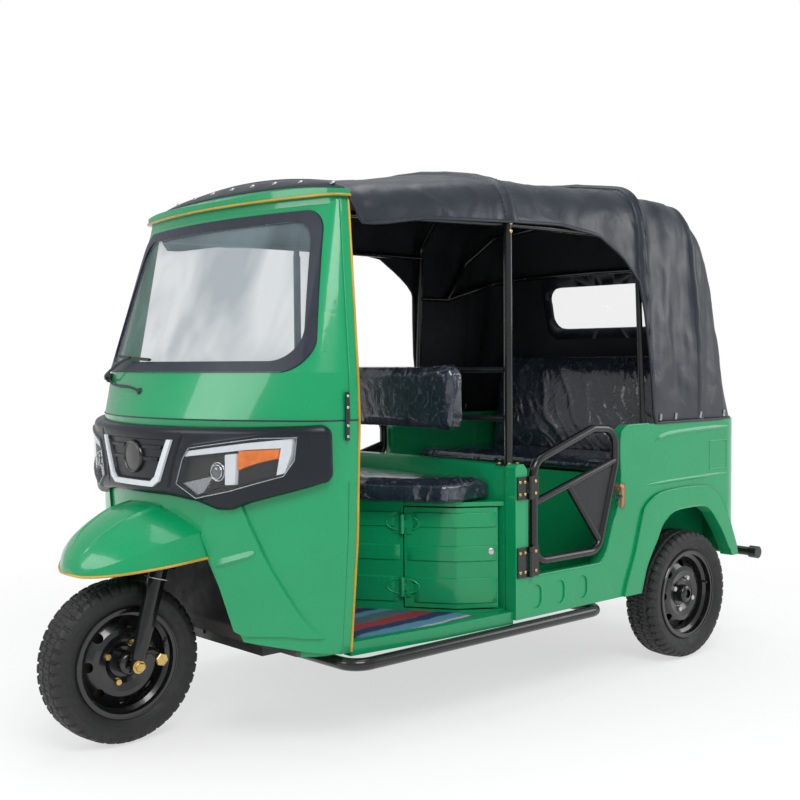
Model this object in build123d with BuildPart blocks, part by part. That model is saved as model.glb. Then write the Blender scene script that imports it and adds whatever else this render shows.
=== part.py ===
"""Three-wheeled auto rickshaw with a canvas canopy.

Millimetres. -Y is the front of the vehicle, +X its left, Z up from the ground. The origin is
on the ground under the middle of the vehicle's length and width.
"""

import os
from math import cos, radians, sin, sqrt

from build123d import *

os.makedirs("parts", exist_ok=True)

# ---------------------------------------------------------------- driving dimensions
LENGTH = 2850
WHEELBASE = 2075
WHEEL_R = 247
TYRE_W = 135
REAR_TRACK = 1130
SKIN = 6  # wall of the body panels
SEAT_GAP = 0.3  # between pieces that rest on or in each other
RUN_GAP = 0.05  # radial, at a shaft in its bore
DOOR_GAP = 5  # round a moving panel

FRONT_AXLE_Y = -LENGTH / 2 + WHEEL_R
REAR_AXLE_Y = FRONT_AXLE_Y + WHEELBASE

# wheels
RIM_R = 168
BEAD_R = 158
RIM_W = 114
AXLE_R = 10
HUB_R = 34
HUB_HALF = 62
HAND_HOLES = 8
HAND_HOLE_R = 13
HAND_HOLE_PCR = 117

# steering
RAKE = 16
LEG_X = 100
LEG_R = 17
SPRING_R = 27
YOKE_H = 300  # along the steering axis, above the front axle
YOKE_T = 16
STEM_R = 18
STEM_TOP = 770
HEAD_LOW = 335
HEAD_HIGH = 472
HEAD_WALL = 9
BAR_R = 11
BAR_HALF = 235
BAR_SWEEP = 185
GRIP_R = 16

# body
HALF_W = 640
FLARE_OUT = 10
FLOOR_TOP = 320
FLOOR_T = 20
SILL_TOP = 328
SILL_BOTTOM = 288
COWL_REAR_Y = -752
SEAM_Z = 983
HEADER_Z = 1636
BULKHEAD_Y = -900
BULKHEAD_TOP = 575
TUB_TOP = 915
TUB_BOTTOM = 300
TAIL_Y = 1250
TAIL_CORNER_R = 120
TAIL_BOTTOM = 370
PARTITION_Y = -86
PILLAR_Y = -97
PILLAR_W = 56
BEAM_TOP = 810
BEAM_CROWN = 5
SIDE_T = 45  # wall of the tub's double-skinned sides
TAIL_T = 12
MASK_OUT = 35
LAMP_OUT = 43

# frame under the floor
RAIL_X = 300
RAIL_W = 50
RAIL_H = 36
RAIL_Z = FLOOR_TOP - FLOOR_T - SEAT_GAP - RAIL_H / 2
RAIL_REAR_Z = 350
KICK_Y = 600
CROSS_YS = (-860, -400, -110, 560)
BUMPER_R = 18
CAP_R = 25
BUMPER_Z = RAIL_REAR_Z
BUMPER_Y = LENGTH / 2 - CAP_R

# roof
POST_X = 577
POST_Y = -62
POST_R = 14
HOOP_R = 11
CANOPY_T = 10
EAVE_Z = 1560

# seats
SEAT_BOX_TOP = 686
CUSHION_T = 62
BACKREST_Y = -181
BACKREST_T = 70
BENCH_TOP = 722
BENCH_FRONT_Y = 575


def rows(table, *names):
    """Each row of a table as a dictionary of its named columns."""
    return [dict(zip(names, row)) for row in table]


def bar(points, bend, radius, plane=Plane.XY, mode=Mode.ADD):
    """A round bar along runs joined by arcs of one radius."""
    spots = [plane.from_local_coords(Vector(*p)) for p in points]
    with BuildLine() as path:
        if bend:
            FilletPolyline(*spots, radius=bend)
        else:
            Polyline(*spots)
    with BuildSketch(Plane(origin=path.line @ 0, z_dir=path.line % 0)) as end:
        Circle(radius)
    sweep(sections=end.sketch, path=path.line, mode=mode)


def slab(points, plane, amount, mode=Mode.ADD, both=False):
    """A straight-sided outline, drawn on a plane and extruded."""
    with BuildSketch(plane) as outline:
        with BuildLine():
            Polyline(*points, close=True)
        make_face()
    extrude(outline.sketch, amount=amount, both=both, mode=mode)


def side_plane(x):
    """A plane facing +X whose local axes are the row's Y and Z."""
    return Plane(origin=(x, 0, 0), x_dir=(0, 1, 0), z_dir=(1, 0, 0))


def front_plane(y):
    """A plane facing -Y whose local axes are the row's X and Z."""
    return Plane(origin=(0, y, 0), x_dir=(1, 0, 0), z_dir=(0, -1, 0))


def write(part, name):
    """Label a finished piece and write it."""
    part.label = name
    export_step(part, f"parts/{name}.step")


# hinges
PIN_R = 4
KNUCKLE_R = 8
KNUCKLE_H = 18
LEAF_T = 5


def hinge_fixed(axis, height, reach, stand):
    """Pin, two knuckles and a leaf; the plane stands on the axis with X towards the moving leaf."""
    leaf_y = stand - SEAT_GAP - LEAF_T / 2
    with BuildSketch(axis) as pin:
        Circle(PIN_R)
    extrude(pin.sketch, amount=height)
    for low in (0, height - KNUCKLE_H):
        with BuildSketch(axis.offset(low)) as knuckle:
            Circle(KNUCKLE_R)
            with Locations((-reach / 2, leaf_y)):
                Rectangle(reach, LEAF_T)
        extrude(knuckle.sketch, amount=KNUCKLE_H)
    with BuildSketch(axis) as leaf:
        with Locations((-0.5 * (reach + KNUCKLE_R + 2), leaf_y)):
            Rectangle(reach - KNUCKLE_R - 2, LEAF_T)
    extrude(leaf.sketch, amount=height)


def hinge_moving(axis, height, reach, stand, into):
    """Sleeve and leaf, with the leaf let into the piece that it carries."""
    low, high = KNUCKLE_H + 1, height - KNUCKLE_H - 1
    with BuildSketch(axis.offset(low)) as sleeve:
        Circle(KNUCKLE_R)
        with Locations((reach / 2, stand - LEAF_T + 0.5 * (LEAF_T + into))):
            Rectangle(reach, LEAF_T + into)
    extrude(sleeve.sketch, amount=high - low)
    with BuildSketch(axis) as leaf:
        with Locations((0.5 * (reach + KNUCKLE_R + 6), stand - LEAF_T + 0.5 * (LEAF_T + into))):
            Rectangle(reach - KNUCKLE_R - 6, LEAF_T + into)
    extrude(leaf.sketch, amount=height)
    with BuildSketch(axis) as bore:
        Circle(PIN_R + RUN_GAP)
    extrude(bore.sketch, amount=height, mode=Mode.SUBTRACT)


# ---------------------------------------------------------------- wheels
def make_tyre(name, x, y):
    half = TYRE_W / 2
    with BuildPart() as tyre:
        with BuildSketch(Plane.XY) as section:
            with BuildLine():
                Polyline((-48, BEAD_R + SEAT_GAP), (48, BEAD_R + SEAT_GAP), (52, RIM_R + 2))
                ThreePointArc((52, RIM_R + 2), (half, 0.5 * (RIM_R + WHEEL_R) - 4), (half - 12, WHEEL_R - 9))
                ThreePointArc((half - 12, WHEEL_R - 9), (0, WHEEL_R), (12 - half, WHEEL_R - 9))
                ThreePointArc((12 - half, WHEEL_R - 9), (-half, 0.5 * (RIM_R + WHEEL_R) - 4), (-52, RIM_R + 2))
                Line((-52, RIM_R + 2), (-48, BEAD_R + SEAT_GAP))
            make_face()
        revolve(axis=Axis.X)
    write(tyre.part.moved(Location((x, y, WHEEL_R))), name)


def make_rim(name, x, y, side, driven):
    """A pressed wheel with its hub; side is +1 where its face looks to +X."""
    half = RIM_W / 2
    with BuildPart() as rim:
        with BuildSketch(Plane.XY) as barrel:
            with BuildLine():
                Polyline(
                    (-half, RIM_R), (-half + 4, RIM_R), (-half + 6, BEAD_R), (-30, BEAD_R), (-22, BEAD_R - 12),
                    (22, BEAD_R - 12), (30, BEAD_R), (half - 6, BEAD_R), (half - 4, RIM_R), (half, RIM_R),
                    (half - 2, BEAD_R - 5), (33, BEAD_R - 5), (25, BEAD_R - 17), (-25, BEAD_R - 17),
                    (-33, BEAD_R - 5), (-half + 2, BEAD_R - 5), close=True,
                )
            make_face()
        revolve(axis=Axis.X)
        with BuildSketch(Plane.XY) as disc:
            with BuildLine():
                Polyline(
                    (22, HUB_R - 4), (22, 46), (32, 64), (36, 88), (32, 104), (14, 130), (8, BEAD_R - 16),
                    (2, BEAD_R - 16), (9, 127), (27, 101), (30, 88), (26, 67), (17, 50), (17, HUB_R - 4), close=True,
                )
            make_face()
        revolve(axis=Axis.X)
        with BuildSketch(Plane.YZ):
            with PolarLocations(HAND_HOLE_PCR, HAND_HOLES):
                SlotOverall(2.4 * HAND_HOLE_R, 2 * HAND_HOLE_R, rotation=90)
        extrude(amount=half, mode=Mode.SUBTRACT)
        if driven:
            with BuildSketch(Plane.YZ.offset(-HUB_HALF)):
                Circle(HUB_R)
            extrude(amount=HUB_HALF + 48)
            with BuildSketch(Plane.YZ.offset(-30)):
                Circle(95)
            extrude(amount=48)
            with BuildSketch(Plane.YZ.offset(-HUB_HALF - 70)):
                Circle(AXLE_R + 4)
            extrude(amount=80)
        else:
            with BuildSketch(Plane.YZ.offset(-HUB_HALF)):
                Circle(HUB_R)
            extrude(amount=2 * HUB_HALF)
            with BuildSketch(Plane.YZ.offset(-40)):
                Circle(78)
            extrude(amount=62)
            with BuildSketch(Plane.YZ.offset(-HUB_HALF)):
                Circle(AXLE_R + RUN_GAP)
            extrude(amount=2 * HUB_HALF, mode=Mode.SUBTRACT)
    turned = rim.part if side > 0 else rim.part.rotate(Axis.Z, 180)
    write(turned.moved(Location((x, y, WHEEL_R))), name)


make_tyre("front_tyre", 0, FRONT_AXLE_Y)
make_rim("front_rim", 0, FRONT_AXLE_Y, 1, False)
for side_name, side in (("left", 1), ("right", -1)):
    make_tyre(f"rear_tyre_{side_name}", side * REAR_TRACK / 2, REAR_AXLE_Y)
    make_rim(f"rear_rim_{side_name}", side * REAR_TRACK / 2, REAR_AXLE_Y, side, True)

# ---------------------------------------------------------------- fork and handlebar
# The steering frame stands on the front axle, leans back by the rake and has Z up the stem.
STEER_AXIS = (0, sin(radians(RAKE)), cos(radians(RAKE)))
STEER = Plane(origin=(0, FRONT_AXLE_Y, WHEEL_R), x_dir=(1, 0, 0), z_dir=STEER_AXIS)

with BuildPart() as fork:
    for x in (-LEG_X, LEG_X):
        with BuildSketch(STEER.offset(-22)):
            with Locations((x, 0)):
                Circle(LEG_R)
        extrude(amount=YOKE_H + 22)
        with BuildSketch(STEER.offset(120)):
            with Locations((x, 0)):
                Circle(SPRING_R)
        extrude(amount=YOKE_H - 120)
    with BuildSketch(STEER.offset(YOKE_H)):
        RectangleRounded(2 * LEG_X + 80, 90, 30)
    extrude(amount=YOKE_T)
    with BuildSketch(STEER.offset(YOKE_H)):
        Circle(STEM_R)
    extrude(amount=STEM_TOP - YOKE_H)
    with BuildSketch(Plane.YZ.offset(-LEG_X - 30)):
        with Locations((FRONT_AXLE_Y, WHEEL_R)):
            Circle(AXLE_R)
    extrude(amount=2 * LEG_X + 60)
write(fork.part, "fork")

BAR_Z = STEM_TOP + SEAT_GAP + 16
with BuildPart() as handlebar:
    bar(
        [(-BAR_HALF, BAR_SWEEP, BAR_Z), (-130, 0, BAR_Z), (130, 0, BAR_Z), (BAR_HALF, BAR_SWEEP, BAR_Z)],
        60, BAR_R, STEER,
    )
    with BuildSketch(STEER.offset(STEM_TOP + SEAT_GAP)):
        RectangleRounded(70, 46, 10)
    extrude(amount=34)
    for x in (-1, 1):
        bar([(x * BAR_HALF, BAR_SWEEP, BAR_Z), (x * 175, 79, BAR_Z)], 0, GRIP_R, STEER)
write(handlebar.part, "handlebar")

# ---------------------------------------------------------------- frame
HEAD_R = STEM_R + HEAD_WALL
CROSS_W = 40
ARM_X = 380
DAMPER_TOP = 575
BENCH_REAR_Y = 1200
with BuildPart() as frame:
    for x in (-RAIL_X, RAIL_X):
        with BuildLine() as rail:
            FilletPolyline(
                (x, -880, RAIL_Z), (x, KICK_Y, RAIL_Z), (x, KICK_Y + 100, RAIL_REAR_Z),
                (x, BUMPER_Y - BUMPER_R - SEAT_GAP, RAIL_REAR_Z), radius=60,
            )
        with BuildSketch(Plane(origin=rail.line @ 0, x_dir=(1, 0, 0), z_dir=(0, 1, 0))) as rail_end:
            Rectangle(RAIL_W, RAIL_H)
        sweep(sections=rail_end.sketch, path=rail.line)
    for y in CROSS_YS:
        reach = ARM_X + 30 if y > 0 else RAIL_X
        with BuildSketch(side_plane(-reach)):
            with Locations((y, RAIL_Z)):
                Rectangle(CROSS_W, RAIL_H)
        extrude(amount=2 * reach)
    with BuildSketch(side_plane(-RAIL_X)):
        with Locations((BENCH_REAR_Y - 40, RAIL_REAR_Z)):
            Rectangle(CROSS_W, RAIL_H)
    extrude(amount=2 * RAIL_X)
    # a bar over the axle takes the tops of the dampers
    bar([(-ARM_X - 30, REAR_AXLE_Y, DAMPER_TOP), (ARM_X + 30, REAR_AXLE_Y, DAMPER_TOP)], 0, 16)
    for x in (-RAIL_X, RAIL_X):
        bar([(x, REAR_AXLE_Y, RAIL_REAR_Z), (x, REAR_AXLE_Y, DAMPER_TOP)], 0, 16)
    # the gooseneck climbs behind the bulkhead and carries the head tube over it
    head_mid = STEER.from_local_coords(Vector(0, 0, 0.5 * (HEAD_LOW + HEAD_HIGH)))
    bar([(0, -860, RAIL_Z), (0, -860, 610), (0, head_mid.Y, head_mid.Z)], 60, 24)
    with BuildSketch(STEER.offset(HEAD_LOW)):
        Circle(HEAD_R)
    extrude(amount=HEAD_HIGH - HEAD_LOW)
    with BuildSketch(STEER.offset(HEAD_LOW - 5)):
        Circle(STEM_R + RUN_GAP)
    extrude(amount=HEAD_HIGH - HEAD_LOW + 10, mode=Mode.SUBTRACT)
write(frame.part, "chassis_frame")

# ---------------------------------------------------------------- cowl
# columns: height, nose Y, nose radius, half width, corner radius, how far the rear edge leans back
LOWER = ("z", "nose", "big", "half", "corner")
UPPER = (*LOWER, "lean")
LOWER_COWL = rows(
    [(300, -1066, 936, 589, 150), (640, -1085, 936, 622, 175), (SEAM_Z, -1091, 936, 635, 187)], *LOWER
)
UPPER_COWL = rows(
    [(SEAM_Z, -1091, 936, 635, 187, 0), (1120, -1043, 1100, 630, 165, 0), (1615, -822, 1900, 538, 45, 46),
     (HEADER_Z, -820, 1900, 533, 45, 48)], *UPPER
)


def cowl_section(z, nose, big, half, corner, lean=0, grow=0, rear=COWL_REAR_Y):
    """A level section: a bowed nose and two tangent corners, closed by a straight rear edge."""
    hub_y = nose + big
    corner_x = half - corner
    corner_y = hub_y - sqrt((big - corner) ** 2 - corner_x**2)
    reach = big - corner
    away_x = corner_x / reach
    away_y = (corner_y - hub_y) / reach
    touch_x = (big + grow) * away_x
    touch_y = hub_y + (big + grow) * away_y
    bend = corner + grow
    mid = Vector(away_x + 1, away_y).normalized() * bend
    with BuildSketch(Plane.XY.offset(z)) as section:
        with BuildLine():
            ThreePointArc((-touch_x, touch_y), (0, nose - grow), (touch_x, touch_y))
            ThreePointArc((touch_x, touch_y), (corner_x + mid.X, corner_y + mid.Y), (half + grow, corner_y))
            Polyline(
                (half + grow, corner_y), (half + grow, rear + lean), (-half - grow, rear + lean),
                (-half - grow, corner_y),
            )
            ThreePointArc((-half - grow, corner_y), (-corner_x - mid.X, corner_y + mid.Y), (-touch_x, touch_y))
        make_face()
    return section.sketch


def cowl_body(levels, grow=0, rear=COWL_REAR_Y, extend=0, mode=Mode.ADD):
    """The solid between level sections, grown outwards and lengthened at both ends."""
    low, high = dict(levels[0]), dict(levels[-1])
    sections = [cowl_section(**row, grow=grow, rear=rear) for row in levels]
    if extend:
        low["z"] -= extend
        high["z"] += extend
        sections = [
            cowl_section(**low, grow=grow, rear=rear), *sections, cowl_section(**high, grow=grow, rear=rear)
        ]
    loft(sections, ruled=True, mode=mode)


# columns: half width, height
ARCH = [(0, 716), (130, 700), (240, 648), (275, 578), (385, 330), (430, 200)]
with BuildPart() as lower_cowl:
    cowl_body(LOWER_COWL)
    cowl_body(LOWER_COWL, grow=-SKIN, rear=COWL_REAR_Y + 40, extend=20, mode=Mode.SUBTRACT)
    slab([*ARCH, *[(-x, z) for x, z in reversed(ARCH[1:])]], front_plane(-800), 400, Mode.SUBTRACT)
    slab([(-740, 292), (-1000, 337), (-1200, 345), (-1200, 200), (-740, 200)], side_plane(0), 700,
         Mode.SUBTRACT, both=True)
write(lower_cowl.part, "lower_cowl")


def window_outline(grow=0):
    """The windscreen's outline seen from the front: a rounded shape, wider at its foot."""
    with BuildSketch(front_plane(-700)) as outline:
        with BuildLine():
            FilletPolyline(
                (-585 - grow, 1122 - grow), (585 + grow, 1122 - grow), (500 + grow, 1600 + grow),
                (-500 - grow, 1600 + grow), radius=80, close=True,
            )
        make_face()
    return outline.sketch


with BuildPart() as upper_cowl:
    cowl_body(UPPER_COWL)
    cowl_body(UPPER_COWL, grow=-SKIN, rear=COWL_REAR_Y + 40, extend=20, mode=Mode.SUBTRACT)
    extrude(window_outline(), amount=600, mode=Mode.SUBTRACT)
write(upper_cowl.part, "upper_cowl")

SEAL_W = 32
with BuildPart() as seal:
    cowl_body(UPPER_COWL, grow=5)
    cowl_body(UPPER_COWL, grow=-SKIN - 4, rear=COWL_REAR_Y + 40, extend=20, mode=Mode.SUBTRACT)
    extrude(window_outline(-SEAT_GAP), amount=600, mode=Mode.INTERSECT)
    extrude(window_outline(-SEAL_W), amount=600, mode=Mode.SUBTRACT)
write(seal.part, "windscreen_seal")

with BuildPart() as glass:
    cowl_body(UPPER_COWL, grow=-3)
    cowl_body(UPPER_COWL, grow=-8, rear=COWL_REAR_Y + 40, extend=20, mode=Mode.SUBTRACT)
    extrude(window_outline(-SEAL_W - SEAT_GAP), amount=600, mode=Mode.INTERSECT)
write(glass.part, "windscreen")

# the brow over the windscreen follows the cowl's plan under an arched top;
# columns are the plane's Y, half width, edge height and crown height
BROW_REAR_Y = -703
BROW_OUT = 13
BROW = rows([(-850, 570, 1650, 1654), (BROW_REAR_Y, 570, 1652, 1716)], "y", "half", "edge", "crown")
with BuildPart() as brow:
    plan = cowl_section(**UPPER_COWL[-1], grow=BROW_OUT)
    extrude(plan.moved(Location((0, 0, SEAT_GAP))), amount=100)
    for row in BROW:
        with BuildSketch(front_plane(row["y"])):
            with BuildLine():
                ThreePointArc((-row["half"], row["edge"]), (0, row["crown"]), (row["half"], row["edge"]))
                Polyline((row["half"], row["edge"]), (row["half"], HEADER_Z - 10), (-row["half"], HEADER_Z - 10),
                         (-row["half"], row["edge"]))
            make_face()
    loft(mode=Mode.INTERSECT)
write(brow.part, "roof_brow")

# the dark mask over the nose and what sits in it; outlines are half width and height from the front
MASK = [(0, 962), (448, 965), (700, 973), (700, 812), (636, 809), (579, 789), (445, 746), (390, 725), (349, 723),
        (279, 743), (160, 755), (0, 755)]
LAMP = [(217, 795), (244, 869), (268, 902), (487, 935), (582, 938), (575, 873), (548, 829), (401, 782), (290, 756)]
MASK_REAR_Y = -850


def mirrored(points):
    """A half outline and its reflection, as one closed outline."""
    return [*points, *[(-x, z) for x, z in reversed(points[1:-1])]]


with BuildPart() as mask:
    cowl_body(LOWER_COWL, grow=MASK_OUT)
    cowl_body(LOWER_COWL, grow=SEAT_GAP, rear=COWL_REAR_Y + 40, extend=20, mode=Mode.SUBTRACT)
    slab(mirrored(MASK), front_plane(MASK_REAR_Y), 500, Mode.INTERSECT)
    slab([(x, z) for x, z in LAMP], front_plane(-700), 500, Mode.SUBTRACT)
    slab([(-x, z) for x, z in LAMP], front_plane(-700), 500, Mode.SUBTRACT)
write(mask.part, "front_mask")

with BuildPart() as lamps:
    cowl_body(LOWER_COWL, grow=LAMP_OUT)
    cowl_body(LOWER_COWL, grow=2 * SEAT_GAP, rear=COWL_REAR_Y + 40, extend=20, mode=Mode.SUBTRACT)
    with BuildSketch(front_plane(-700)) as lamp_faces:
        for flip in (1, -1):
            with BuildLine():
                Polyline(*[(flip * x, z) for x, z in LAMP], close=True)
            make_face()
        offset(amount=-1)
    extrude(lamp_faces.sketch, amount=500, mode=Mode.INTERSECT)
write(lamps.part, "headlamps")

DRL = [(202, 924), (143, 798), (112, 780), (0, 780), (0, 796), (104, 796), (126, 812), (184, 924)]
with BuildPart() as light_bar:
    cowl_body(LOWER_COWL, grow=MASK_OUT + 8)
    cowl_body(LOWER_COWL, grow=MASK_OUT + SEAT_GAP, rear=COWL_REAR_Y + 40, extend=20, mode=Mode.SUBTRACT)
    slab([*DRL[:4], *[(-x, z) for x, z in reversed(DRL[:3])], *[(-x, z) for x, z in reversed(DRL[4:])], *DRL[5:]],
         front_plane(-700), 500, Mode.INTERSECT)
write(light_bar.part, "light_bar")

# ---------------------------------------------------------------- front fender
# columns: Y, half width, lower edge, shoulder, crest
FENDER = rows(
    [(-1335, 70, 528, 542, 566), (-1300, 150, 535, 560, 615), (-1247, 215, 548, 590, 662),
     (-1150, 258, 562, 628, 712), (-1000, 292, 580, 655, 728)],
    "y", "half", "low", "shoulder", "crest",
)


def fender_section(y, half, low, shoulder, crest, wall=0):
    with BuildSketch(front_plane(y)) as section:
        with BuildLine():
            ThreePointArc((-0.93 * (half - wall), shoulder - wall), (0, crest - wall), (0.93 * (half - wall), shoulder - wall))
            Polyline((0.93 * (half - wall), shoulder - wall), (half - wall, low - 2 * wall), (wall - half, low - 2 * wall),
                     (-0.93 * (half - wall), shoulder - wall))
        make_face()
    return section.sketch


with BuildPart() as fender:
    loft([fender_section(**row) for row in FENDER], ruled=True)
    inner = [dict(row) for row in FENDER]
    inner[0]["y"] += SKIN
    inner[-1]["y"] += SKIN
    loft([fender_section(**row, wall=SKIN) for row in inner], ruled=True, mode=Mode.SUBTRACT)
    cowl_body(LOWER_COWL, grow=SEAT_GAP, rear=-600, extend=30, mode=Mode.SUBTRACT)
write(fender.part, "front_fender")

# ---------------------------------------------------------------- floor
NECK_GAP = 30
with BuildPart() as floor:
    plan = [(526, BULKHEAD_Y + 8 + SEAT_GAP), (556, -860), (572, -830), (581, COWL_REAR_Y + SEAT_GAP),
            (588, COWL_REAR_Y + SEAT_GAP), (620, -420), (628, PILLAR_Y - SEAT_GAP), (HALF_W - SIDE_T, PILLAR_Y - SEAT_GAP),
            (HALF_W - SIDE_T, BENCH_FRONT_Y - 1)]
    outline = [*plan, *[(-x, y) for x, y in reversed(plan)]]
    slab(outline, Plane.XY.offset(FLOOR_TOP - FLOOR_T), FLOOR_T)
    for flip in (1, -1):
        edge = [(588, COWL_REAR_Y + 1), (620, -420), (628, PILLAR_Y - SEAT_GAP), (596, PILLAR_Y - SEAT_GAP),
                (588, -420), (556, COWL_REAR_Y + 1)]
        slab([(flip * x, y) for x, y in edge], Plane.XY.offset(SILL_BOTTOM), SILL_TOP - SILL_BOTTOM)
    with BuildSketch(Plane.XY.offset(FLOOR_TOP - 2 * FLOOR_T)):
        with Locations((0, -860)):
            Rectangle(2 * NECK_GAP, 2 * NECK_GAP)
        with Locations((0, -255)):
            Rectangle(380, 270)
    extrude(amount=4 * FLOOR_T, mode=Mode.SUBTRACT)
write(floor.part, "floor_pan")

with BuildPart() as mat:
    slab([(-470, -790), (470, -790), (548, -640), (572, -420), (586, -230), (500, -230), (200, -420), (120, -460),
          (-120, -460), (-200, -420), (-500, -230), (-586, -230), (-572, -420), (-548, -640)],
         Plane.XY.offset(FLOOR_TOP), 6)
write(mat.part, "floor_mat")

with BuildPart() as bulkhead:
    cowl_body(LOWER_COWL, grow=-SKIN - SEAT_GAP, rear=-600)
    with BuildSketch(Plane.XY.offset(TUB_BOTTOM)):
        with Locations((0, BULKHEAD_Y + 4)):
            Rectangle(1300, 8)
    extrude(amount=BULKHEAD_TOP - TUB_BOTTOM, mode=Mode.INTERSECT)
write(bulkhead.part, "front_bulkhead")

# ---------------------------------------------------------------- partition and rear tub
with BuildPart() as partition:
    inside = HALF_W - SIDE_T
    with BuildSketch(Plane.XY.offset(FLOOR_TOP)):
        with Locations((0, PARTITION_Y + 6)):
            Rectangle(2 * inside, 12)
    extrude(amount=BEAM_TOP - 42 - FLOOR_TOP)
    with BuildSketch(front_plane(PARTITION_Y)):
        with BuildLine():
            ThreePointArc((-inside, BEAM_TOP - BEAM_CROWN), (0, BEAM_TOP), (inside, BEAM_TOP - BEAM_CROWN))
            Polyline((inside, BEAM_TOP - BEAM_CROWN), (inside, BEAM_TOP - 42), (-inside, BEAM_TOP - 42),
                     (-inside, BEAM_TOP - BEAM_CROWN))
        make_face()
    extrude(amount=-46)
write(partition.part, "partition")

# the side's outline, seen from its left: Y, Z
TUB_EDGE = [
    (PILLAR_Y, TUB_BOTTOM), (PILLAR_Y, 800), (PILLAR_Y + 10, 811), (-58, 811), (-41, 790), (-41, 452), (-24, 435),
    (330, 435), (372, 468), (407, 555), (437, 616), (459, 715), (455, 857), (470, 898), (505, TUB_TOP),
    (TAIL_Y - TAIL_CORNER_R, TUB_TOP), (TAIL_Y - TAIL_CORNER_R, TUB_BOTTOM),
]
ARCH_IN = [(562, 290), (602, 403), (661, 488), (696, 541), (756, 579), (842, 589), (969, 585), (1021, 554), (1088, 480),
           (1143, 398), (1200, 290)]
ARCH_OUT = [(466, TUB_BOTTOM), (488, 354), (533, 453), (573, 575), (602, 621), (684, 657), (842, 666), (982, 659),
            (1048, 635), (1088, 601), (1142, 513), (1191, 408), (1200, 369)]
OVALS = (2, 120, 240)
for side_name, side in (("left", 1), ("right", -1)):
    with BuildPart() as tub_side:
        slab(TUB_EDGE, side_plane(side * (HALF_W - SIDE_T)), side * SIDE_T)
        slab([*ARCH_OUT, (1200, 290), (466, 290)], side_plane(side * (HALF_W - SIDE_T)),
             side * (SIDE_T + FLARE_OUT))
        slab(ARCH_IN, side_plane(side * (HALF_W - 60)), side * 100, Mode.SUBTRACT)
        slab([(400, 200), (1300, 200), (1300, TAIL_BOTTOM), (1150, TAIL_BOTTOM), (1150, TUB_BOTTOM),
              (400, TUB_BOTTOM)], side_plane(side * (HALF_W - 60)), side * 100, Mode.SUBTRACT)
        with BuildSketch(side_plane(side * HALF_W)) as dents:
            for y in OVALS:
                with Locations((y, 366)):
                    SlotOverall(80, 54, rotation=90)
        extrude(dents.sketch, amount=-side * 5, mode=Mode.SUBTRACT)
    write(tub_side.part, f"tub_side_{side_name}")

PLATE_HOLE_R = 3.5
PLATE_HOLE_PITCH = 180
PLATE_Z = 520
with BuildPart() as tail:
    with BuildSketch(Plane.XY.offset(TAIL_BOTTOM)):
        with Locations((0, TAIL_Y - 200)):
            RectangleRounded(2 * HALF_W, 400, TAIL_CORNER_R)
        with Locations((0, TAIL_Y - 200)):
            RectangleRounded(2 * (HALF_W - TAIL_T), 400 - 2 * TAIL_T, TAIL_CORNER_R - TAIL_T, mode=Mode.SUBTRACT)
        with Locations((0, TAIL_Y - TAIL_CORNER_R - 300)):
            Rectangle(2 * HALF_W + 10, 600, mode=Mode.SUBTRACT)
    extrude(amount=TUB_TOP - TAIL_BOTTOM)
    for flip in (1, -1):
        slab([*ARCH_OUT, (1200, 290), (466, 290)], side_plane(flip * (HALF_W - 60)), flip * 100, Mode.SUBTRACT)
    with BuildSketch(front_plane(TAIL_Y)):
        with Locations((0, PLATE_Z)):
            with GridLocations(PLATE_HOLE_PITCH, 0, 2, 1):
                Circle(PLATE_HOLE_R + 3)
    extrude(amount=2 * TAIL_T, mode=Mode.SUBTRACT)
write(tail.part, "tail_panel")

with BuildPart() as tail_lamps:
    for flip in (1, -1):
        with BuildSketch(front_plane(TAIL_Y + SEAT_GAP)):
            with Locations((flip * 470, 600)):
                RectangleRounded(90, 190, 18)
        extrude(amount=-28)
write(tail_lamps.part, "tail_lamps")

with BuildPart() as plate:
    with BuildSketch(front_plane(TAIL_Y + SEAT_GAP)):
        with Locations((0, PLATE_Z)):
            RectangleRounded(240, 140, 10)
            with GridLocations(PLATE_HOLE_PITCH, 0, 2, 1):
                Circle(PLATE_HOLE_R, mode=Mode.SUBTRACT)
    extrude(amount=-4)
write(plate.part, "number_plate_bracket")

# ---------------------------------------------------------------- rear bench
WELL_X = REAR_TRACK / 2 - HUB_HALF - 23
WELL_TOP = 645
BENCH_T = 12
bench_half = HALF_W - SIDE_T - SEAT_GAP
bench_y = 0.5 * (BENCH_FRONT_Y + BENCH_REAR_Y)
bench_deep = BENCH_REAR_Y - BENCH_FRONT_Y
with BuildPart() as bench:
    with BuildSketch(Plane.XY.offset(WELL_TOP)):
        with Locations((0, bench_y)):
            Rectangle(2 * bench_half, bench_deep)
    extrude(amount=BENCH_TOP - WELL_TOP)
    with BuildSketch(Plane.XY.offset(FLOOR_TOP + SEAT_GAP)):
        with Locations((0, bench_y)):
            Rectangle(2 * WELL_X, bench_deep)
    extrude(amount=WELL_TOP - FLOOR_TOP - SEAT_GAP)
    with BuildSketch(Plane.XY.offset(FLOOR_TOP - 1)):
        with Locations((0, bench_y)):
            Rectangle(2 * WELL_X - 2 * BENCH_T, bench_deep - 2 * BENCH_T)
    extrude(amount=BENCH_TOP - BENCH_T - FLOOR_TOP + 1, mode=Mode.SUBTRACT)
    # the rails run out through the rear wall
    with BuildSketch(front_plane(BENCH_REAR_Y + 1)):
        for x in (-RAIL_X, RAIL_X):
            with Locations((x, RAIL_REAR_Z)):
                Rectangle(RAIL_W + 4, RAIL_H + 4)
    extrude(amount=BENCH_T + 2, mode=Mode.SUBTRACT)
write(bench.part, "bench_base")

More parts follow.
